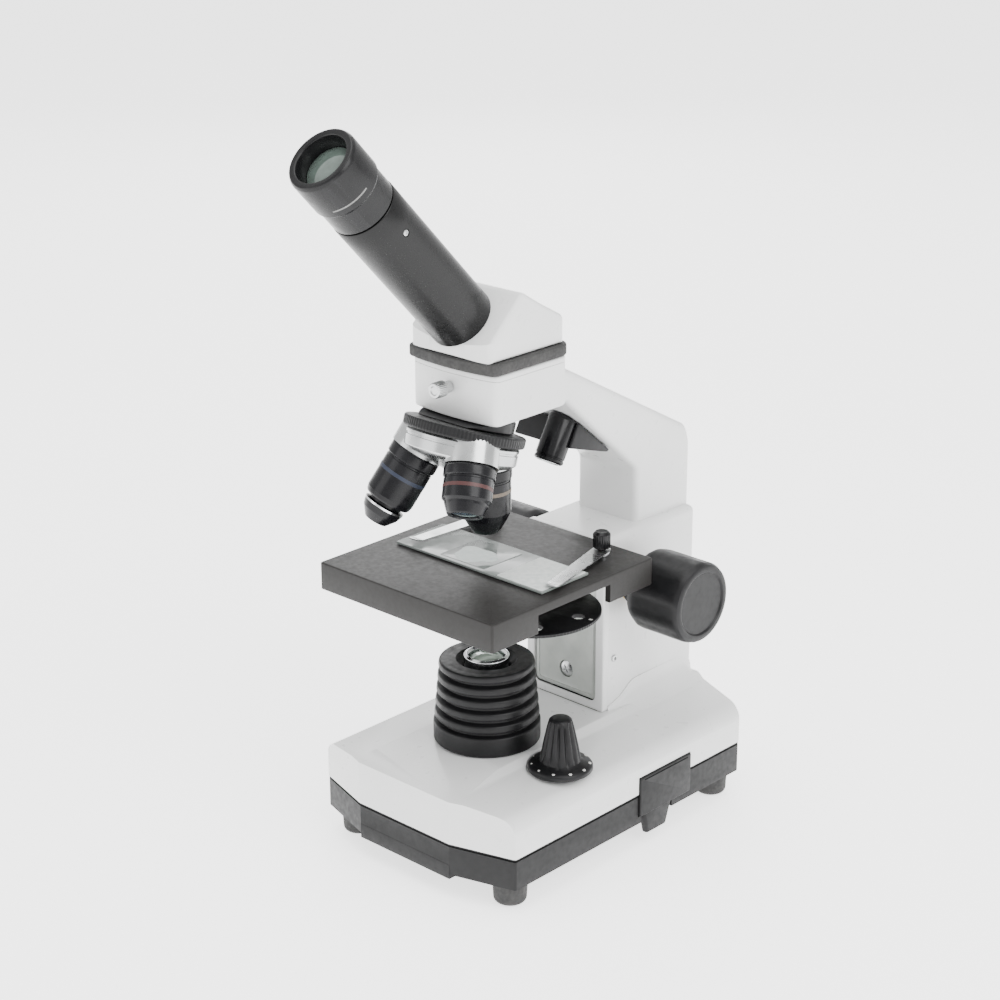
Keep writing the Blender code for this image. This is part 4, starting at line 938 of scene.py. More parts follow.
def make_arm():
    """The white casting: head block, sloping web, slim column, and the framed lower column."""
    floor = low("arm").z
    back = high("arm").y
    outline = [
        (0.0050, BLOCK_TOP - 0.0016),
        (BLOCK_BACK - 0.0010, 0.1930, 0.030),
        (back - 0.0022, SHOULDER_Z, 0.0060),
        (back, SHOULDER_Z - 0.0070, 0.0100),
        (back, floor + 0.0100),
        (UPPER_FRONT, floor + 0.0100),
        (UPPER_FRONT, ELBOW_FOOT_Z, 0.0060),
        (ELBOW[0], ELBOW[1] + 0.0001),
        (0.0050, ELBOW[1] + 0.0001),
    ]
    web = slab(outline, -1, 1, "x", 8)
    for vert in web.data.vertices:
        vert.co.x *= web_half(vert.co.y)
    bevel(web, 0.0026, 4, 50)
    head = prism(bowed_plan(BLOCK_HALF, BLOCK_FRONT, BLOCK_BACK, 0.0022, 0.0045), ELBOW[1], BLOCK_TOP)
    bevel(head, 0.0009, 3, 60)
    rear = [(COLUMN_HALF - 0.0008, COLUMN_FRONT + 0.0010), (COLUMN_HALF_REAR, back),
            (-COLUMN_HALF_REAR, back), (-COLUMN_HALF + 0.0008, COLUMN_FRONT + 0.0010)]
    column = bevel(prism(rear, floor - 0.0002, LEDGE_Z), 0.0026, 4, 50)
    face = [(-COLUMN_HALF, floor - 0.0002, FRAME_CORNER), (COLUMN_HALF, floor - 0.0002, FRAME_CORNER),
            (COLUMN_HALF, LEDGE_Z, 0.0020), (-COLUMN_HALF, LEDGE_Z, 0.0020)]
    front = slab(face, COLUMN_FRONT, COLUMN_FRONT + FRAME_DEPTH, "y")
    bevel(front, 0.0008, 3, 60)
    flares = [make_flare(side, back - 0.0008) for side in (-1, 1)]
    arm = join(head, web, column, front, *flares)

    mouth = [(-CHANNEL_HALF, floor + 0.0034, 0.0030), (CHANNEL_HALF, floor + 0.0034, 0.0030),
             (CHANNEL_HALF, CHANNEL_TOP, 0.0010), (-CHANNEL_HALF, CHANNEL_TOP, 0.0010)]
    channel = slab(mouth, 0.040, CHANNEL_BACK, "y")
    rails = block((-CHANNEL_HALF, high("guide_rail_left").y - 0.0125, floor - 0.01),
                  (CHANNEL_HALF, high("guide_rail_left").y + AIR, floor + 0.02))
    pocket = block((-0.0070, 0.05, SHAFT_Z - 0.0064), (0.0070, SHAFT_Y + 0.0064, SHAFT_Z + 0.0064))
    shaft = moved(0, SHAFT_Y, SHAFT_Z) @ basis(AXIS_X)
    bush = on_axis("shaft_bush_right", AXIS_X)[1]
    bores = [cylinder(0.0027, -0.04, 0.04, shaft)]
    for side in (-1, 1):
        ends = sorted((side * 0.0115, side * 0.04))
        bores.append(cylinder(bush * 0.4 + 0.0004, *ends, shaft))
    light = cylinder(LIGHT_BORE, 0.17, 0.21)
    thread = cylinder(0.0017, -0.005, 0.02,
                      moved(0, BLOCK_FRONT, LOCK_Z) @ basis(-AXIS_Y).inverted())
    around = bowed_plan(BLOCK_HALF + 0.001, BLOCK_FRONT - 0.001, BLOCK_BACK, 0.0022, 0.0050)
    within = bowed_plan(BLOCK_HALF - 0.0003, BLOCK_FRONT + 0.0003, BLOCK_BACK + 0.002, 0.0022, 0.0042)
    seam = prism(around, SEAM_LOW, SEAM_HIGH)
    cut(seam, prism(within, 0.19, 0.20))
    arm = cut(arm, channel, rails, pocket, *bores, light, thread, seam)
    reframe(arm, STAND)
    stand_for(arm, "arm_casting", WHITE, "arm", angle=30)

    screw_place = moved(*SET_SCREW_AT) @ basis(AXIS_X)
    screw = lathe(rounded([(0, -0.0004), (0.0006, -0.0004), (0.0007, 0.0005), (0.0014, 0.0004, 0.0002),
                           (0.0015, -0.0008), (0, -0.0008)]), screw_place, 32)
    add_detail(reframe(screw, STAND), "drive_set_screw", STEEL, "arm")


def make_lock_screw():
    """The thumbscrew that clamps the head: a knurled head on a stem."""
    place, radius, length = on_axis("head_lock_screw", -AXIS_Y)
    head_length = 0.0082
    shape = knurl(radius - 0.0002, -head_length + 0.0012, FAR, 26, 0.00016)
    profile = [(0, -0.0004), (0.0014, -0.0004), (0.0018, 0, 0.0002), (radius - 0.0003, 0, 0.0003),
               (radius, -0.0006), (radius, -0.0048), (radius - 0.0007, -0.0054),
               (radius - 0.0008, -head_length + 0.0003), (0.0015, -head_length), (0.0015, -length),
               (0, -length)]
    screw = lathe(rounded(profile), place, 156, shape=shape)
    stand_for(screw, "head_lock_thumbscrew", STEEL, "head_lock_screw", angle=35)


# ---------------------------------------------------------------- focusing drive
KNOB_FLUTES = 10
KNOB_FLUTE_DEPTH = 0.00032
GRIP_END = -0.0262               # the flutes' inner end, from the knob's outer face


def make_knobs():
    """Focusing knobs with broad shallow flutes, a rim and a flat end."""
    for side, word in ((-1, "left"), (1, "right")):
        node = f"focus_knob_{word}"
        place, radius, length = on_axis(node, AXIS_X * side)

        def fluted(reach, z, angle):
            if reach < radius - 0.0012 or z < GRIP_END:
                return reach
            fade = min(1, (-0.0006 - z) / 0.0016, (z - GRIP_END) / 0.0030)
            return reach - KNOB_FLUTE_DEPTH * max(0, fade) * (0.5 + 0.5 * cos(KNOB_FLUTES * angle)) ** 1.5

        profile = [(0, -0.0008), (radius - 0.0040, -0.0008), (radius - 0.0034, -0.0002, 0.0003),
                   (radius - 0.0020, -0.0001), (radius - 0.0009, -0.0006), (radius - 0.0002, -0.0018),
                   (radius, -0.0030), *[(radius, -0.0030 - step * 0.0024) for step in range(1, 9)],
                   (radius - 0.0002, -0.0240), (radius - 0.0012, -0.0256), (radius - 0.0022, -0.0260),
                   (0.0090, -0.0258, 0.0006), (0.0088, -length + 0.0004), (0.0084, -length),
                   (0.0028, -length), (0.0028, -0.0050), (0, -0.0050)]
        stand_for(lathe(rounded(profile), place, 192, shape=fluted), f"fluted_knob_{word}", KNOB_PLASTIC,
                  node, angle=32)


CARRIAGE_SCREW_Z = 0.0570
CARRIAGE_SCREW_FRONT = 0.0462    # where its sunk head ends, just behind the plate's front


def make_carriage():
    """The stage's grey carriage, and the table that carries the stage and the aperture disc."""
    least, most = low("carriage"), high("carriage")
    half, front, back = 0.0162, 0.0459, most.y
    table_low, table_high, plate_top = 0.1025, 0.1062, 0.1108
    plate_outline = [(-half, least.z, 0.0022), (half, least.z, 0.0022), (half, plate_top, 0.0022),
                     (-half, plate_top, 0.0022)]
    plate = bevel(slab(plate_outline, front, back, "y"), 0.0007, 3, 60)
    neck = block((-0.0140, 0.0400, table_low), (0.0140, 0.0480, table_high))
    table = block((-0.0180, -0.0160, table_low + 0.0001), (0.0270, 0.0442, table_high - 0.0001), 0.0060)
    bevel(table, 0.0006, 2, 60)
    posts = []
    for x, y in ((-0.0120, -0.0090), (0.0210, -0.0090), (-0.0120, 0.0380), (0.0210, 0.0380)):
        post = moved(x, y)
        posts.append(cylinder(0.0030, 0.1050, low("stage_plate").z + 0.0077, post, 32))
    pivot = on_axis("diaphragm_pivot", AXIS_Z)[0].translation - OPTICAL
    screw_place = moved(0, front, CARRIAGE_SCREW_Z) @ basis(AXIS_Y)
    holes = [cylinder(LIGHT_BORE, 0.09, 0.12),
             cylinder(0.0018, 0.09, 0.12, moved(pivot.x, pivot.y)),
             cylinder(0.0022, -0.006, 0.006, screw_place),
             cylinder(0.0036, -0.0020, 0.0018, screw_place)]
    recess_outline = [(-half + 0.0018, least.z + 0.0018, 0.0016), (half - 0.0018, least.z + 0.0018, 0.0016),
                      (half - 0.0018, 0.0990, 0.0016), (-half + 0.0018, 0.0990, 0.0016)]
    recess = slab(recess_outline, front - 0.001, front + 0.0004, "y")
    bevel(recess, 0.0002, 2, 60)
    carriage = cut(join(plate, neck, table, *posts), *holes, recess)
    reframe(carriage, STAND)
    stand_for(carriage, "stage_carriage", CASTING, "carriage", angle=30)

    place, radius, length = on_axis("carriage_screw", -AXIS_Y)
    sunk = CARRIAGE_SCREW_FRONT - low("carriage_screw").y
    head = [(0, -sunk), (0.0012, -sunk), (0.0024, -sunk - 0.0003),
            (radius - 0.0002, -sunk - 0.0006, 0.0002), (radius - 0.0001, -sunk - 0.0010),
            (0.0018, -sunk - 0.0010), (0.0018, -length), (0, -length)]
    screw = lathe(rounded(head), place, 48)
    arms = []
    for turn in (0, pi / 2):
        arms.append(reframe(block((-0.0017, -0.00032, -sunk - 0.0009), (0.0017, 0.00032, 0.001)),
                            place @ Matrix.Rotation(turn + 0.5, 4, "Z")))
    cut(screw, *arms)
    stand_for(screw, "cross_head_screw", STEEL, "carriage_screw", angle=30)


# ---------------------------------------------------------------- stage
def make_stage():
    """The square plate: hollow below, with a light hole, a notch in its right edge and two ribs."""
    least, most = low("stage_plate"), high("stage_plate")
    wall = 0.0025
    under = most.z - 0.0030
    plate = bevel(block(least, most, 0.0010), 0.0005, 3, 60)
    hollow = block((least.x + wall, least.y + wall, 0.09), (most.x - wall, most.y - wall, under), 0.0012)
    notch = block((most.x - 0.005, -0.0200, 0.09), (most.x + 0.005, 0.0200, under - 0.0006))
    holes = [lathe([(0, 0.01), (0.0108, 0.01), (0.0108, 0), (0.0100, -0.0008), (0.0100, -0.01), (0, -0.01)],
                   moved(0, 0, most.z), 96)]
    for word in ("left", "right"):
        centre = on_axis(f"clip_screw_{word}", AXIS_Z)[0].translation - OPTICAL
        holes.append(cylinder(0.0019, 0.10, 0.13, moved(centre.x, centre.y), 32))
    plate = cut(plate, hollow, notch, *holes)
    ribs = []
    for y in (-0.0300, 0.0260):
        ribs.append(block((least.x + wall - 0.0002, y, under - 0.0030),
                          (-0.0190, y + 0.0016, under + 0.0005)))
    plate = join(plate, *ribs)
    reframe(plate, STAND)
    stand_for(plate, "square_stage", STAGE_PAINT, "stage_plate", angle=30)


CLIP_RISE = 0.0012               # how far a clip's tip turns up, over its last stretch
CLIP_TIP = 0.0060
CLIP_SAG = 0.00015
CLIP_HEEL = 0.0035
CLIP_END_HALF = 0.0025


def make_clips():
    """Spring clips with a round heel and an upturned tip, under knurled knobs on plated collars."""
    for word in ("left", "right"):
        node = f"stage_clip_{word}"
        joint = JOINTS[f"clip_{word}_swing"]
        corners = [vert.co for vert in NODES[node].data.vertices]
        pivot = Vector(joint["pos_m"])
        tip = max(corners, key=lambda point: (Vector(point[:2]) - Vector(pivot[:2])).length)
        far = [point for point in corners if (point - tip).length < 0.004]
        middle = sum(far, Vector()) / len(far)
        along = atan2(middle.y - pivot.y, middle.x - pivot.x)
        reach = (Vector(tip[:2]) - Vector(pivot[:2])).length
        bottom = min(point.z for point in corners)
        thick = max(point.z for point in corners) - bottom
        steps = 40
        rails = []
        for step in range(steps + 1):
            x = -CLIP_HEEL + (reach + CLIP_HEEL) * step / steps
            if x < 0:
                half = sqrt(max(0.0, CLIP_HEEL * CLIP_HEEL - x * x)) + 0.0001
            elif x > reach - CLIP_END_HALF:
                past = (x - reach + CLIP_END_HALF) / CLIP_END_HALF
                half = CLIP_END_HALF * sqrt(max(0.0, 1 - past ** 2)) + 0.0001
            else:
                half = CLIP_HEEL - 0.0010 * x / reach
            tip_share = max(0, (x - reach + CLIP_TIP) / CLIP_TIP)
            sag = CLIP_SAG * sin(pi * max(0, min(1, x / reach)))
            lift = CLIP_RISE * tip_share ** 2 - sag
            z = bottom + 0.0001 + max(0, lift)
            upper = z + thick - 0.0002
            rails.append([(x, -half, z), (x, half, z), (x, half, upper), (x, -half, upper)])
        strip = loft(rails)
        cut(strip, cylinder(0.0019, bottom - 0.01, bottom + 0.01, steps=32))
        place = moved(pivot.x, pivot.y) @ Matrix.Rotation(along, 4, "Z")
        stand_for(reframe(strip, place), f"spring_clip_{word}", SPRING_STEEL, node, angle=30)

        screw, radius, length = on_axis(f"clip_screw_{word}", AXIS_Z)
        top = -(high(f"clip_screw_{word}").z - high(node).z) + 0.0004
        shape = knurl(radius - 0.0004, top + 0.0006, -0.0008, 22, 0.00022)
        knob = [(0, -0.0002), (0.0016, -0.0001), (radius - 0.0010, 0, 0.0004),
                (radius - 0.0002, -0.0008, 0.0003), (radius - 0.0001, -0.0012),
                (radius - 0.0001, top + 0.0012), (radius - 0.0003, top + 0.0004), (0.0016, top),
                (0.0016, -length), (0, -length)]
        stand_for(lathe(rounded(knob), screw, 132, shape=shape), f"clip_knob_{word}", GLOSS_BLACK,
                  f"clip_screw_{word}", angle=35)
        collar_top = bottom - high(f"clip_screw_{word}").z - 0.0002
        floor = high("stage_plate").z - high(f"clip_screw_{word}").z + 0.0002
        collar = [(radius - 0.0004, collar_top, 0.0002), (radius - 0.0002, floor + 0.0003),
                  (radius - 0.0002, floor), (0.0017, floor), (0.0017, collar_top)]
        add_detail(turned_ring(collar, screw, 48), f"clip_collar_{word}",
                   CHROME, f"clip_screw_{word}")


def make_slide():
    """The glass slide with ground edges, its frosted end, and the specimen under a cover glass."""
    least, most = low("specimen_slide"), high("specimen_slide")
    top = most.z - 0.00016           # the glass itself, under the cover and the stain
    glass = bevel(block(least, (most.x, most.y, top), 0.0004), 0.00015, 2, 60)
    reframe(glass, STAND)
    stand_for(glass, "slide_glass", SLIDE_GLASS, "specimen_slide", angle=30)
    middle_y = (least.y + most.y) / 2
    label = bevel(block((most.x - 0.0235, least.y + 0.0006, top + 0.00001),
                        (most.x - 0.0006, most.y - 0.0006, top + 0.00010), 0.0008), 0.00003, 2, 60)
    add_detail(reframe(label, STAND), "slide_label", LABEL, "specimen_slide")
    stain = []
    for step in range(36):
        angle = 2 * pi * step / 36
        reach = 0.0072 + 0.0008 * sin(3 * angle + 0.4) + 0.0005 * sin(5 * angle + 1.7)
        stain.append((-0.0040 + reach * 1.25 * cos(angle), middle_y - 0.0030 + reach * sin(angle)))
    cover = bevel(block((-0.0150, middle_y - 0.0112, top + 0.00001),
                        (0.0080, middle_y + 0.0100, top + 0.00011), 0.0003), 0.00003, 2, 60)
    add_detail(reframe(cover, STAND), "cover_glass", SLIDE_GLASS, "specimen_slide")
    stained = prism(stain, top + 0.00012, top + 0.00014)
    add_detail(reframe(stained, STAND), "stained_specimen", SPECIMEN, "specimen_slide")


def make_aperture_disc():
    """The milled disc of six apertures, its printed marks and its pivot pin."""
    place, radius, length = on_axis("diaphragm_disc", AXIS_Z)
    centre = place.translation - OPTICAL
    milled = knurl(radius - 0.0002, -FAR, FAR, 120, 0.00022)
    profile = [(0, 0), (radius - 0.0030, 0), (radius - 0.0026, -0.0002), (radius - 0.0008, -0.0002),
               (radius, -0.0004), (radius, -length + 0.0002), (radius - 0.0004, -length), (0, -length)]
    disc = lathe(profile, place, 360, shape=milled)
    reach = Vector((centre.x, centre.y)).length
    first = atan2(-centre.y, -centre.x)
    holes = [cylinder(0.0019, -0.01, 0.01, place, 32)]
    for index, size in enumerate((0.0055, 0.0044, 0.0034, 0.0025, 0.0017, 0.0010)):
        angle = first + index * pi / 3
        at = place @ moved(reach * cos(angle), reach * sin(angle))
        holes.append(cylinder(size, -0.01, 0.01, at, 48))
    cut(disc, *holes)
    stand_for(disc, "aperture_disc", BLACK_PLASTIC, "diaphragm_disc", angle=32)
    marks = []
    for index in range(6):
        angle = first + index * pi / 3
        mark = block((radius - 0.0024, -0.0003 - 0.00007 * index, -0.0004),
                     (radius - 0.0010, 0.0003 + 0.00007 * index, -0.00012))
        marks.append(reframe(mark, place @ Matrix.Rotation(angle, 4, "Z")))
    add_detail(gather(*marks), "aperture_marks", WHITE_INK, "diaphragm_disc")

    place, radius, length = on_axis("diaphragm_pivot", AXIS_Z)
    cap = -0.0054
    pin = [(0, 0), (0.0016, -0.0001, 0.0001), (0.0016, cap - 0.0001),
           (radius - 0.0002, cap - 0.0001, 0.0002), (radius, cap - 0.0006),
           (radius - 0.0006, -length + 0.0001, 0.0004), (0.0008, -length + 0.0001),
           (0.0007, -length + 0.0006), (0, -length + 0.0006)]
    stand_for(lathe(rounded(pin), place, 64), "disc_pivot_pin", CHROME, "diaphragm_pivot")


# ---------------------------------------------------------------- nosepiece and objectives
TURRET_TILT = atan2(TURRET_AXIS.y, TURRET_AXIS.z)
TURRET = basis(TURRET_AXIS, JOINTS["nosepiece_turn"]["pos_m"])
STUB_RADIUS = 0.0074             # an objective's thread stub, which the turret's cone takes
SEAT_DEPTH = 0.0486 - AIR         # the cone's seats for the objectives, from the apex
CONE_EYE = 0.0045                # radius of the cone's flat middle
RING_NEAR, RING_FAR = -0.0320, -0.0363       # the knurled ring, along the turret's axis


def objective_frame(turn):
    """An objective's frame. The origin is where its axis crosses the nosepiece's."""
    return TURRET @ Matrix.Rotation(turn, 4, "Z") @ Matrix.Rotation(TURRET_TILT, 4, "X")


TURNS = {"10x": 0, "40x": 2 * pi / 3, "4x": -2 * pi / 3}


def objective_paths(radius, near, far):
    """Cutters along the three objectives' axes."""
    return [cylinder(radius, -far, -near, objective_frame(turn), 64) for turn in TURNS.values()]


def make_nosepiece():
    """The fixed seat, the knurled ring, the cone with a boss for each objective, and its screw."""
    bottom = -0.0317
    profile = [(0, -0.0200), (0.0180, -0.0200), (0.0180, bottom + 0.0060), (0.0174, bottom + 0.0055),
               (0.0174, bottom + 0.0047), (0.0180, bottom + 0.0042), (0.0180, bottom + 0.0004),
               (0.0176, bottom), (0, bottom)]
    mount = lathe(profile, TURRET, 128)
    above = reframe(block((-0.05, -0.06, ELBOW[1] - AIR), (0.05, 0.06, 0.25)), STAND)
    path = reframe(cylinder(LIGHT_BORE, 0.16, 0.19), STAND)
    cut(mount, above, path, cylinder(TURRET_BORE, -0.05, -0.01, TURRET))
    stand_for(mount, "nosepiece_seat", BLACK_PLASTIC, "nosepiece_mount", angle=30)

    radius = on_axis("turret_ring", TURRET_AXIS)[1]
    near, far = RING_NEAR, RING_FAR
    shape = knurl(radius - 0.0002, far + 0.0008, near - 0.0008, 100, 0.00022)
    profile = [(0, near), (radius - 0.0020, near), (radius - 0.0004, near - 0.0003),
               (radius, near - 0.0008), (radius, near - 0.0010), (radius, far + 0.0010),
               (radius, far + 0.0008), (radius - 0.0004, far + 0.0002), (radius - 0.0010, far), (0, far)]
    ring = lathe(profile, TURRET, 400, shape=shape)
    cut(ring, *objective_paths(0.0070, 0.02, 0.045), cylinder(TURRET_BORE, -0.05, -0.02, TURRET))
    stand_for(ring, "knurled_turret_ring", BLACK_PLASTIC, "turret_ring", angle=38)

    near = far - AIR
    rim = high("turret_plate").x
    tip = SEAT_DEPTH / cos(TURRET_TILT)
    middle = tip - CONE_EYE * tan(TURRET_TILT)
    edge = tip - (rim - 0.0010) * tan(TURRET_TILT)
    cone = []
    for step in range(7):
        reach = rim - 0.0016 - (rim - 0.0016 - CONE_EYE) * step / 6
        cone.append((reach, -(tip - reach * tan(TURRET_TILT))))
    profile = [(0, near), (rim - 0.0006, near), (rim, near - 0.0006, 0.0003), (rim, near - 0.0016),
               (rim - 0.0004, near - 0.0018), (rim - 0.0004, near - 0.0024), (rim, near - 0.0026),
               (rim, -edge + 0.0012, 0.0006), *cone, (0, -middle)]
    plate = lathe(rounded(profile), TURRET, 160)
    bosses = [cylinder(0.0104, -SEAT_DEPTH, -0.0400, objective_frame(turn), 96) for turn in TURNS.values()]
    join(plate, *bosses)
    cut(plate, *objective_paths(STUB_RADIUS + AIR, 0.02, 0.06), cylinder(TURRET_BORE, -0.06, -0.02, TURRET))
    stand_for(plate, "turret_cone", TURRET_METAL, "turret_plate", angle=30)

    end = middle + AIR
    head = [(0, -0.0290), (0.0017, -0.0290), (0.0017, -end), (0.0036, -end, 0.0001),
            (0.0034, -end - 0.0008, 0.0004), (0.0022, -end - 0.0014, 0.0003), (0, -end - 0.0015)]
    screw = lathe(rounded(head), TURRET, 48)
    cut(screw, reframe(block((-0.0040, -0.00035, -end - 0.01), (0.0040, 0.00035, -end - 0.0009)), TURRET))
    stand_for(screw, "turret_centre_screw", STEEL, "turret_screw", angle=30)


def band(radius, near, far, frame, name, material, node, arc=None):
    """A thin painted band round a barrel, or along an arc of it."""
    def ring(depth):
        skin = radius + 0.00006
        return [(skin, -near), (skin, -far), (radius - depth, -far), (radius - depth, -near)]

    if arc is None:
        return add_detail(lathe(ring(0.0003), frame, 96, closed=True), name, material, node)
    rows = []
    steps = 24
    for step in range(steps + 1):
        angle = arc[0] + (arc[1] - arc[0]) * step / steps
        rows.append([(size * cos(angle), size * sin(angle), z) for size, z in ring(0.0002)])
    return add_detail(reframe(loft(rows), frame), name, material, node)


def make_objective(word, sections, bore, grip, ink, ring_at, window):
    """One objective: thread stub, knurled collar, barrel with its power ring, and a bevelled front.

    A section is (radius, distance from the apex, corner radius). The grip is (start, stop, count,
    depth) of the collar's knurls, and the window is where the printed mark starts, as an angle.
    """
    node = f"objective_{word}"
    frame = objective_frame(TURNS[word])
    tip = sections[-1][1]
    outer = sections[1][0]
    points = [(STUB_RADIUS - 0.0002, -0.0416), (STUB_RADIUS, -0.0420), (STUB_RADIUS, -0.0485),
              (sections[0][0] - 0.0003, -0.0486)]
    points += [(section[0], -section[1], *section[2:]) for section in sections]
    points += [(bore + 0.0003, -tip), (bore, -tip + 0.0004), (bore, -0.0416)]
    start, stop, count, depth = grip
    shape = knurl(outer - 0.00005, -stop + 0.0002, -start - 0.0002, count, depth)
    barrel = lathe(rounded(points, closed=True), frame, 192, closed=True, shape=shape)
    stand_for(barrel, f"{node}_barrel", ANODISED, node, angle=34)
    radius = next(section[0] for section in sections if section[1] > ring_at)
    band(radius, ring_at, ring_at + 0.0014, frame, f"{node}_ring", ink, node)
    band(radius, ring_at + 0.0031, ring_at + 0.0035, frame, f"{node}_mark", GREY_INK, node,
         (window, window + 0.8))
    return frame


def make_front_lens(word, radius, tip, node_name):
    frame = objective_frame(TURNS[word])
    dome = []
    for step in range(8):
        angle = radians(step * 6)
        dome.append((radius * sin(angle) / sin(radians(42)),
                     -tip + 0.0008 - 0.0006 * (cos(angle) - 0.74) / 0.26))
    dome = [(0, -tip + 0.0024), (radius, -tip + 0.0024), *reversed(dome)]
    dome[-1] = (0, dome[-1][1])
    stand_for(lathe(dome, frame, 64), f"{node_name}_glass", LENS_GLASS, node_name)


def make_objectives():
    make_objective("4x",
                   [(0.0096, 0.0492, 0.0003), (0.0096, 0.0524, 0.0003), (0.0090, 0.0528), (0.0090, 0.0534),
                    (0.0092, 0.0536), (0.0092, 0.0608, 0.0006), (0.0082, 0.0618, 0.0005),
                    (0.0080, 0.0628, 0.0006), (0.0068, 0.0660, 0.0006), (0.0064, 0.0665)], 0.0052,
                   (0.0492, 0.0524, 60, 0.0002), RED_INK, 0.0556, radians(-150))
    make_front_lens("4x", 0.0049, 0.0665, "front_lens_4x")
    make_objective("10x",
                   [(0.0100, 0.0492, 0.0003), (0.0100, 0.0528, 0.0003), (0.0094, 0.0533), (0.0094, 0.0539),
                    (0.0096, 0.0541), (0.0096, 0.0664, 0.0006), (0.0086, 0.0690, 0.0014),
                    (0.0061, 0.0734, 0.0016), (0.0050, 0.0748, 0.0006), (0.0046, 0.0750)], 0.0036,
                   (0.0492, 0.0528, 64, 0.0002), YELLOW_INK, 0.0572, radians(-100))
    make_front_lens("10x", 0.0033, 0.0750, "front_lens_10x")
    frame = make_objective("40x",
                           [(0.0098, 0.0492, 0.0003), (0.0098, 0.0528, 0.0003), (0.0092, 0.0533),
                            (0.0092, 0.0539), (0.0094, 0.0541), (0.0094, 0.0678, 0.0006),
                            (0.0090, 0.0694, 0.0005), (0.0086, 0.0700)], 0.0068,
                           (0.0492, 0.0528, 62, 0.0002), BLUE_INK, 0.0580, radians(-40))
    nose = [(0.0064, -0.0600), (0.0064, -0.0714), (0.0079, -0.0718, 0.0003), (0.0080, -0.0724, 0.0003),
            (0.0071, -0.0752, 0.0010), (0.0044, -0.0788, 0.0008), (0.0034, -0.0790), (0.0030, -0.0787),
            (0.0030, -0.0600)]
    stand_for(turned_ring(nose, frame, 128), "spring_nose_40x", ANODISED,
              "objective_40x_nose", angle=30)
    collar = [(0.00805, -0.0719), (0.00800, -0.0726), (0.0070, -0.0726), (0.0070, -0.0719)]
    add_detail(lathe(collar, frame, 96, closed=True), "spring_nose_collar", CHROME, "objective_40x_nose")
    make_front_lens("40x", 0.0027, 0.0790, "front_lens_40x")


# ---------------------------------------------------------------- head
TUBE_TILT = atan2(-TUBE_AXIS.y, TUBE_AXIS.z)
FACE_MIDDLE = Vector((-0.0128, 0.2155))      # the sloping face that the tube leaves, in Y and Z
FACE_UP = 0.0140
FACE_DOWN = 0.0104
SPIGOT_RADIUS = 0.0086           # the tube's lower end, inside the head
SHOULDER_TO_FACE = 0.0679        # the tube's length down to the head's sloping face


def make_gasket():
    """The black ring between the head and the arm."""
    least, most = low("head_gasket"), high("head_gasket")
    plan = bowed_plan(most.x, least.y, most.y, 0.0024, 0.0055)
    gasket = bevel(prism(plan, least.z, most.z), 0.0007, 3, 60)
    cut(gasket, cylinder(0.0120, 0.19, 0.21))
    reframe(gasket, STAND)
    stand_for(gasket, "head_gasket_ring", RUBBER, "head_gasket", angle=30)


def make_head_housing():
    """The white cover: a roof that steps down to the sloping face, over the prism's chamber."""
    least, most = low("head_housing"), high("head_housing")
    slope = Vector((cos(TUBE_TILT), sin(TUBE_TILT)))
    upper, lower = FACE_MIDDLE + slope * FACE_UP, FACE_MIDDLE - slope * FACE_DOWN
    outline = [(most.y, least.z), (most.y, 0.2095, 0.0030), (0.0200, 0.2138, 0.0040),
               (0.0085, 0.2203, 0.0200), (-0.0010, 0.2262, 0.0040), (upper.x, upper.y, 0.0016),
               (lower.x, lower.y, 0.0030), (least.y, least.z)]
    side = slab(outline, least.x, most.x, "x", 8)
    bevel(side, 0.0040, 5, 60)
    plan = prism(bowed_plan(most.x, least.y, most.y + 0.0002, 0.0022, 0.0050), least.z, most.z + 0.01)
    housing = combine(side, "INTERSECT", plan)
    chamber = block((-0.0130, -0.0120, 0.19), (0.0130, 0.0140, 0.2120))
    tube, _, length = on_axis("eye_tube", TUBE_AXIS)
    back = STAND.inverted() @ tube
    bore = cylinder(SPIGOT_RADIUS + AIR, -length - AIR, -0.03, back, 128)
    cut(housing, chamber, bore)
    reframe(housing, STAND)
    stand_for(housing, "head_cover", WHITE, "head_housing", angle=30)


def make_eye_tube():
    """The inclined tube: a spigot inside the head, a shoulder at its face, and a set screw."""
    place, radius, length = on_axis("eye_tube", TUBE_AXIS)
    bore = 0.0117
    end = SHOULDER_TO_FACE
    ring = [(bore + 0.0002, 0), (radius - 0.0002, 0, 0.0001), (radius, -0.0004), (radius, -0.0095),
            (radius, -0.0150), (radius, -0.0300), (radius, -end), (SPIGOT_RADIUS, -end),
            (SPIGOT_RADIUS, -length), (SPIGOT_RADIUS - 0.0008, -length),
            (SPIGOT_RADIUS - 0.0008, -end + 0.0010), (bore, -end + 0.0010), (bore, -0.0003)]
    tube = turned_ring(ring, place, 128)
    screw, _, _ = on_axis("tube_set_screw", AXIS_X)
    cut(tube, cylinder(0.0014, -0.003, 0.003, screw, 32))
    stand_for(tube, "eyepiece_tube", TUBE_PAINT, "eye_tube", angle=30)
    place, radius, length = on_axis("tube_set_screw", AXIS_X)
    grub = lathe([(0, -0.0003), (0.0005, -0.0003), (0.0006, 0), (radius, -0.0001), (radius, -length),
                  (0, -length)], place, 32)
    stand_for(grub, "tube_grub_screw", STEEL, "tube_set_screw")


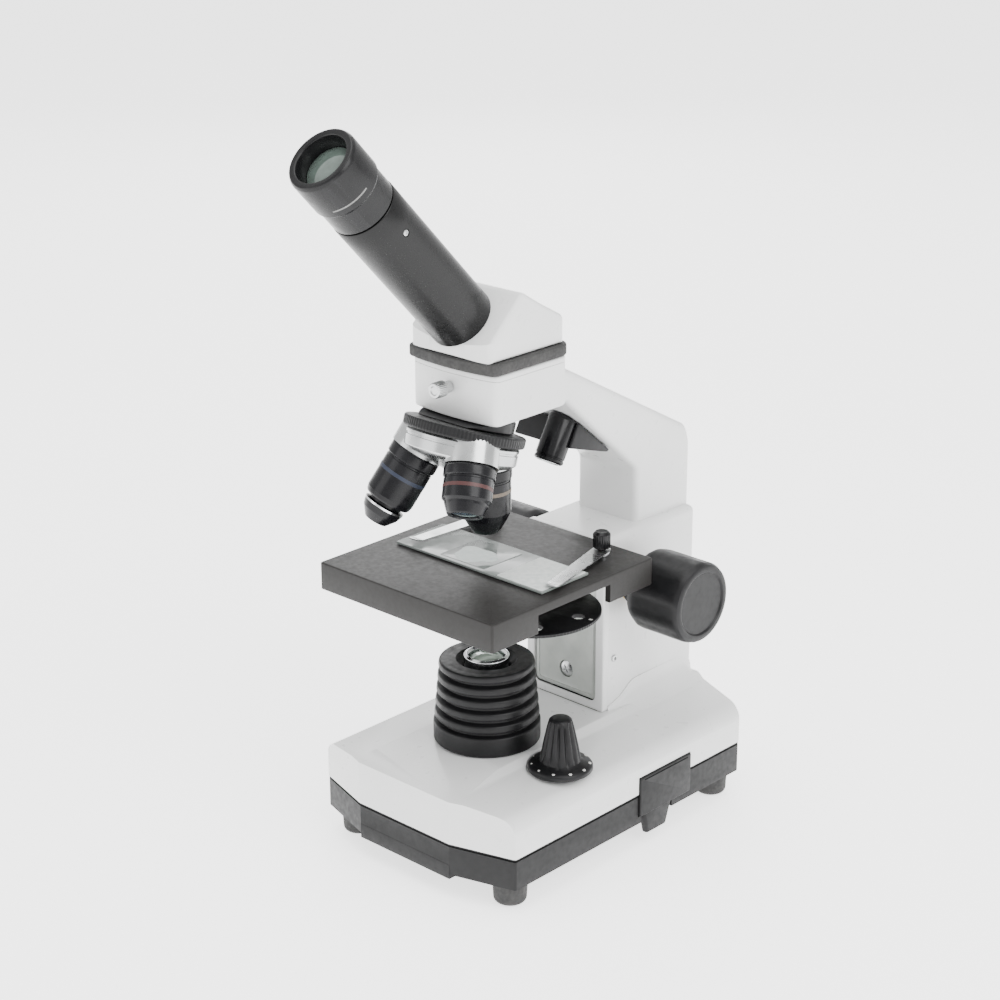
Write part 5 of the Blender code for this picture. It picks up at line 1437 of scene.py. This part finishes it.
def make_eyepiece():
    """The eyepiece: a rounded rim round a deep-set lens, a wide body and a slip fit in the tube."""
    place, radius, _ = on_axis("eyepiece_barrel", TUBE_AXIS)
    profile = [(radius - 0.0030, -0.0005, 0.0006), (radius - 0.0007, -0.0003, 0.0008),
               (radius - 0.0001, -0.0016, 0.0008), (radius, -0.0024), (radius, -0.0158, 0.0003),
               (radius - 0.0007, -0.0168, 0.0003), (radius - 0.0007, -0.0266, 0.0002),
               (radius - 0.0011, -0.0270), (0.0114, -0.0270), (0.0114, -0.0516), (0.0112, -0.0520),
               (0.0098, -0.0520), (0.0098, -0.0116), (0.0090, -0.0114), (0.0090, -0.0060),
               (0.0094, -0.0040, 0.0008)]
    barrel = turned_ring(profile, place, 160)
    stand_for(barrel, "eyepiece_body", EYE_PLASTIC, "eyepiece_barrel", angle=30)
    band(radius, 0.0128, 0.0134, place, "eyepiece_mark", GREY_INK, "eyepiece_barrel",
         (radians(-66), radians(-2)))
    lens = []
    for step in range(10):
        angle = radians(step * 5)
        lens.append((0.0088 * sin(angle) / sin(radians(45)), -0.0046 - 0.0014 * (1 - cos(angle)) / 0.293))
    lens += [(0.0088, -0.0110), (0, -0.0130)]
    stand_for(lathe(lens, place, 96), "eye_lens_glass", EYE_GLASS, "eye_lens")


# ---------------------------------------------------------------- upper lamp
LAMP_TILT = radians(30)


def under_slope(y):
    """Height of the arm's sloping underside at y, less the air under it."""
    fall = (ELBOW[1] - ELBOW_FOOT_Z) / (UPPER_FRONT - ELBOW[0])
    return ELBOW[1] - fall * (y - ELBOW[0]) - 0.0006


def make_upper_lamp():
    """The lamp for opaque specimens, cut to the arm's slope, with its window and its wedge mount."""
    axis = Vector((0, sin(LAMP_TILT), cos(LAMP_TILT)))
    place, radius, length = on_axis("upper_lamp_body", axis)
    profile = [(0, -0.0001), (radius - 0.0018, 0), (radius - 0.0004, -0.0004, 0.0006),
               (radius - 0.0001, -0.0016), (radius, -0.0020), (radius, -length + 0.0024),
               (radius - 0.0003, -length + 0.0022), (radius - 0.0003, -length + 0.0018),
               (radius, -length + 0.0016), (radius, -length + 0.0006, 0.0004),
               (radius - 0.0008, -length, 0.0003), (0.0044, -length), (0.0042, -length + 0.0003),
               (0.0042, -length + 0.0035), (0, -length + 0.0035)]
    case = lathe(rounded(profile), place, 128)
    near, far = 0.0125, 0.0600
    above = prism([(near, under_slope(near)), (far, under_slope(far)), (far, 0.2), (near, 0.2)],
                  -0.03, 0.03, "x")
    cut(case, reframe(above, STAND))
    stand_for(case, "upper_lamp_case", GLOSS_BLACK, "upper_lamp_body", angle=30)
    ring = [(radius - 0.0009, -length - 0.0001, 0.0001), (0.0043, -length - 0.0001),
            (0.0043, -length + 0.0008), (radius - 0.0009, -length + 0.0006)]
    add_detail(turned_ring(ring, place, 96), "upper_lamp_ring", CHROME,
               "upper_lamp_body")
    at, lens_radius, lens_length = on_axis("upper_lamp_lens", axis)
    dome = [(0, 0), (lens_radius, 0), (lens_radius, -lens_length + 0.0009)]
    for step in range(1, 8):
        angle = radians(step * 90 / 7)
        dome.append((lens_radius * cos(angle), -lens_length + 0.0009 - 0.0009 * sin(angle)))
    dome[-1] = (0, -lens_length)
    stand_for(lathe(dome, at, 64), "upper_lamp_window", LAMP_GLASS, "upper_lamp_lens")

    half = high("upper_lamp_bracket").x
    wedge = [(0.0364, under_slope(0.0364)), (0.0545, under_slope(0.0545)), (0.0533, 0.1508),
             (0.0312, 0.1577)]
    bracket = bevel(prism(wedge, -half, half, "x"), 0.0006, 3, 50)
    socket = cylinder(radius + AIR, -0.05, 0.01, STAND.inverted() @ place, 96)
    cut(bracket, socket)
    reframe(bracket, STAND)
    stand_for(bracket, "upper_lamp_mount", BLACK_PLASTIC, "upper_lamp_bracket", angle=30)


# ---------------------------------------------------------------- finish of the working parts inside
def finish_inner_nodes():
    """The CAD's own shapes that stay: each gets the material that its real piece has."""
    finishes = {"driver_board": BOARD, "led_board": BOARD, "dimmer_shaft": SHAFT_STEEL,
                "dimmer_potentiometer": STEEL, "guide_rail_left": STEEL, "guide_rail_right": STEEL,
                "focus_shaft": SHAFT_STEEL, "pinion": BRASS, "rack": BRASS, "shaft_bush_left": BRASS,
                "shaft_bush_right": BRASS, "prism": GLASS, "field_lens": EYE_GLASS}
    for node, material in finishes.items():
        slots = NODES[node].data.materials
        slots.clear()
        slots.append(material)


# ---------------------------------------------------------------- studio
def emitter(name, size, power, at, aim):
    """A soft rectangular studio light."""
    light = bpy.data.lights.new(name, "AREA")
    light.shape = "RECTANGLE"
    light.size, light.size_y = size
    light.energy = power
    lamp = bpy.data.objects.new(name, light)
    bpy.context.scene.collection.objects.link(lamp)
    lamp.location = at
    lamp.rotation_euler = (Vector(aim) - Vector(at)).to_track_quat("-Z", "Y").to_euler()


def make_studio():
    floor = bpy.data.meshes.new("studio_floor")
    reach = 6.0
    floor.from_pydata([(-reach, -reach, 0), (reach, -reach, 0), (reach, reach, 0), (-reach, reach, 0)], [],
                      [(0, 1, 2, 3)])
    ground = bpy.data.objects.new("studio_floor", floor)
    bpy.context.scene.collection.objects.link(ground)
    paper = Surface("studio_paper", (0.90, 0.90, 0.90), 0.85)
    paper.tones(paper.noise(3, 3), (0.3, (0.895, 0.895, 0.895)), (0.7, (0.915, 0.915, 0.915)))
    paper.set("Specular IOR Level", 0.1)
    paper.set("Emission Color", (1.0, 1.0, 1.0, 1.0))
    paper.set("Emission Strength", 1.9)
    floor.materials.append(paper.material)

    world = bpy.data.worlds.new("studio_air")
    bpy.context.scene.world = world
    world.use_nodes = True
    world.node_tree.nodes["Background"].inputs["Color"].default_value = (1.0, 1.0, 1.0, 1.0)
    world.node_tree.nodes["Background"].inputs["Strength"].default_value = 1.25
    aim = (0, 0, 0.13)
    emitter("key_light", (0.9, 0.9), 15.0, (1.15, -0.10, 0.95), aim)
    emitter("top_light", (1.2, 1.2), 14.0, (0.0, -0.1, 1.35), aim)
    emitter("front_light", (0.8, 0.8), 4.0, (-0.55, -1.20, 0.50), aim)
    emitter("rim_light", (0.5, 0.9), 5.0, (-0.9, 0.9, 0.75), aim)


CAMERA_AZIMUTH = radians(43.4475)
CAMERA_ELEVATION = radians(19.6435)
CAMERA_ROLL = radians(-0.266)
CAMERA_DISTANCE = 0.8504
CAMERA_LENS = 81.41
CAMERA_SHIFT = (0.00754, -0.02276)
CAMERA_AIM = Vector((0, OPTICAL.y + 0.0037, 0.15))


def make_camera():
    camera = bpy.data.cameras.new("studio_camera")
    camera.lens = CAMERA_LENS
    camera.sensor_width = 36
    camera.shift_x, camera.shift_y = CAMERA_SHIFT
    camera.clip_start = 0.01
    view = bpy.data.objects.new("studio_camera", camera)
    bpy.context.scene.collection.objects.link(view)
    away = Vector((sin(CAMERA_AZIMUTH) * cos(CAMERA_ELEVATION),
                   -cos(CAMERA_AZIMUTH) * cos(CAMERA_ELEVATION), sin(CAMERA_ELEVATION)))
    turn = away.to_track_quat("Z", "Y").to_matrix().to_4x4() @ Matrix.Rotation(CAMERA_ROLL, 4, "Z")
    view.matrix_world = Matrix.Translation(CAMERA_AIM + away * CAMERA_DISTANCE) @ turn
    bpy.context.scene.camera = view


make_camera()
make_studio()
make_base_shell()
make_base_pan()
make_feet()
make_drawer()
make_cells()
make_illuminator()
make_dial()
make_arm()
make_lock_screw()
make_knobs()
make_carriage()
make_stage()
make_clips()
make_slide()
make_aperture_disc()
make_nosepiece()
make_objectives()
make_gasket()
make_head_housing()
make_eye_tube()
make_eyepiece()
make_upper_lamp()
finish_inner_nodes()

bpy.context.view_layer.update()
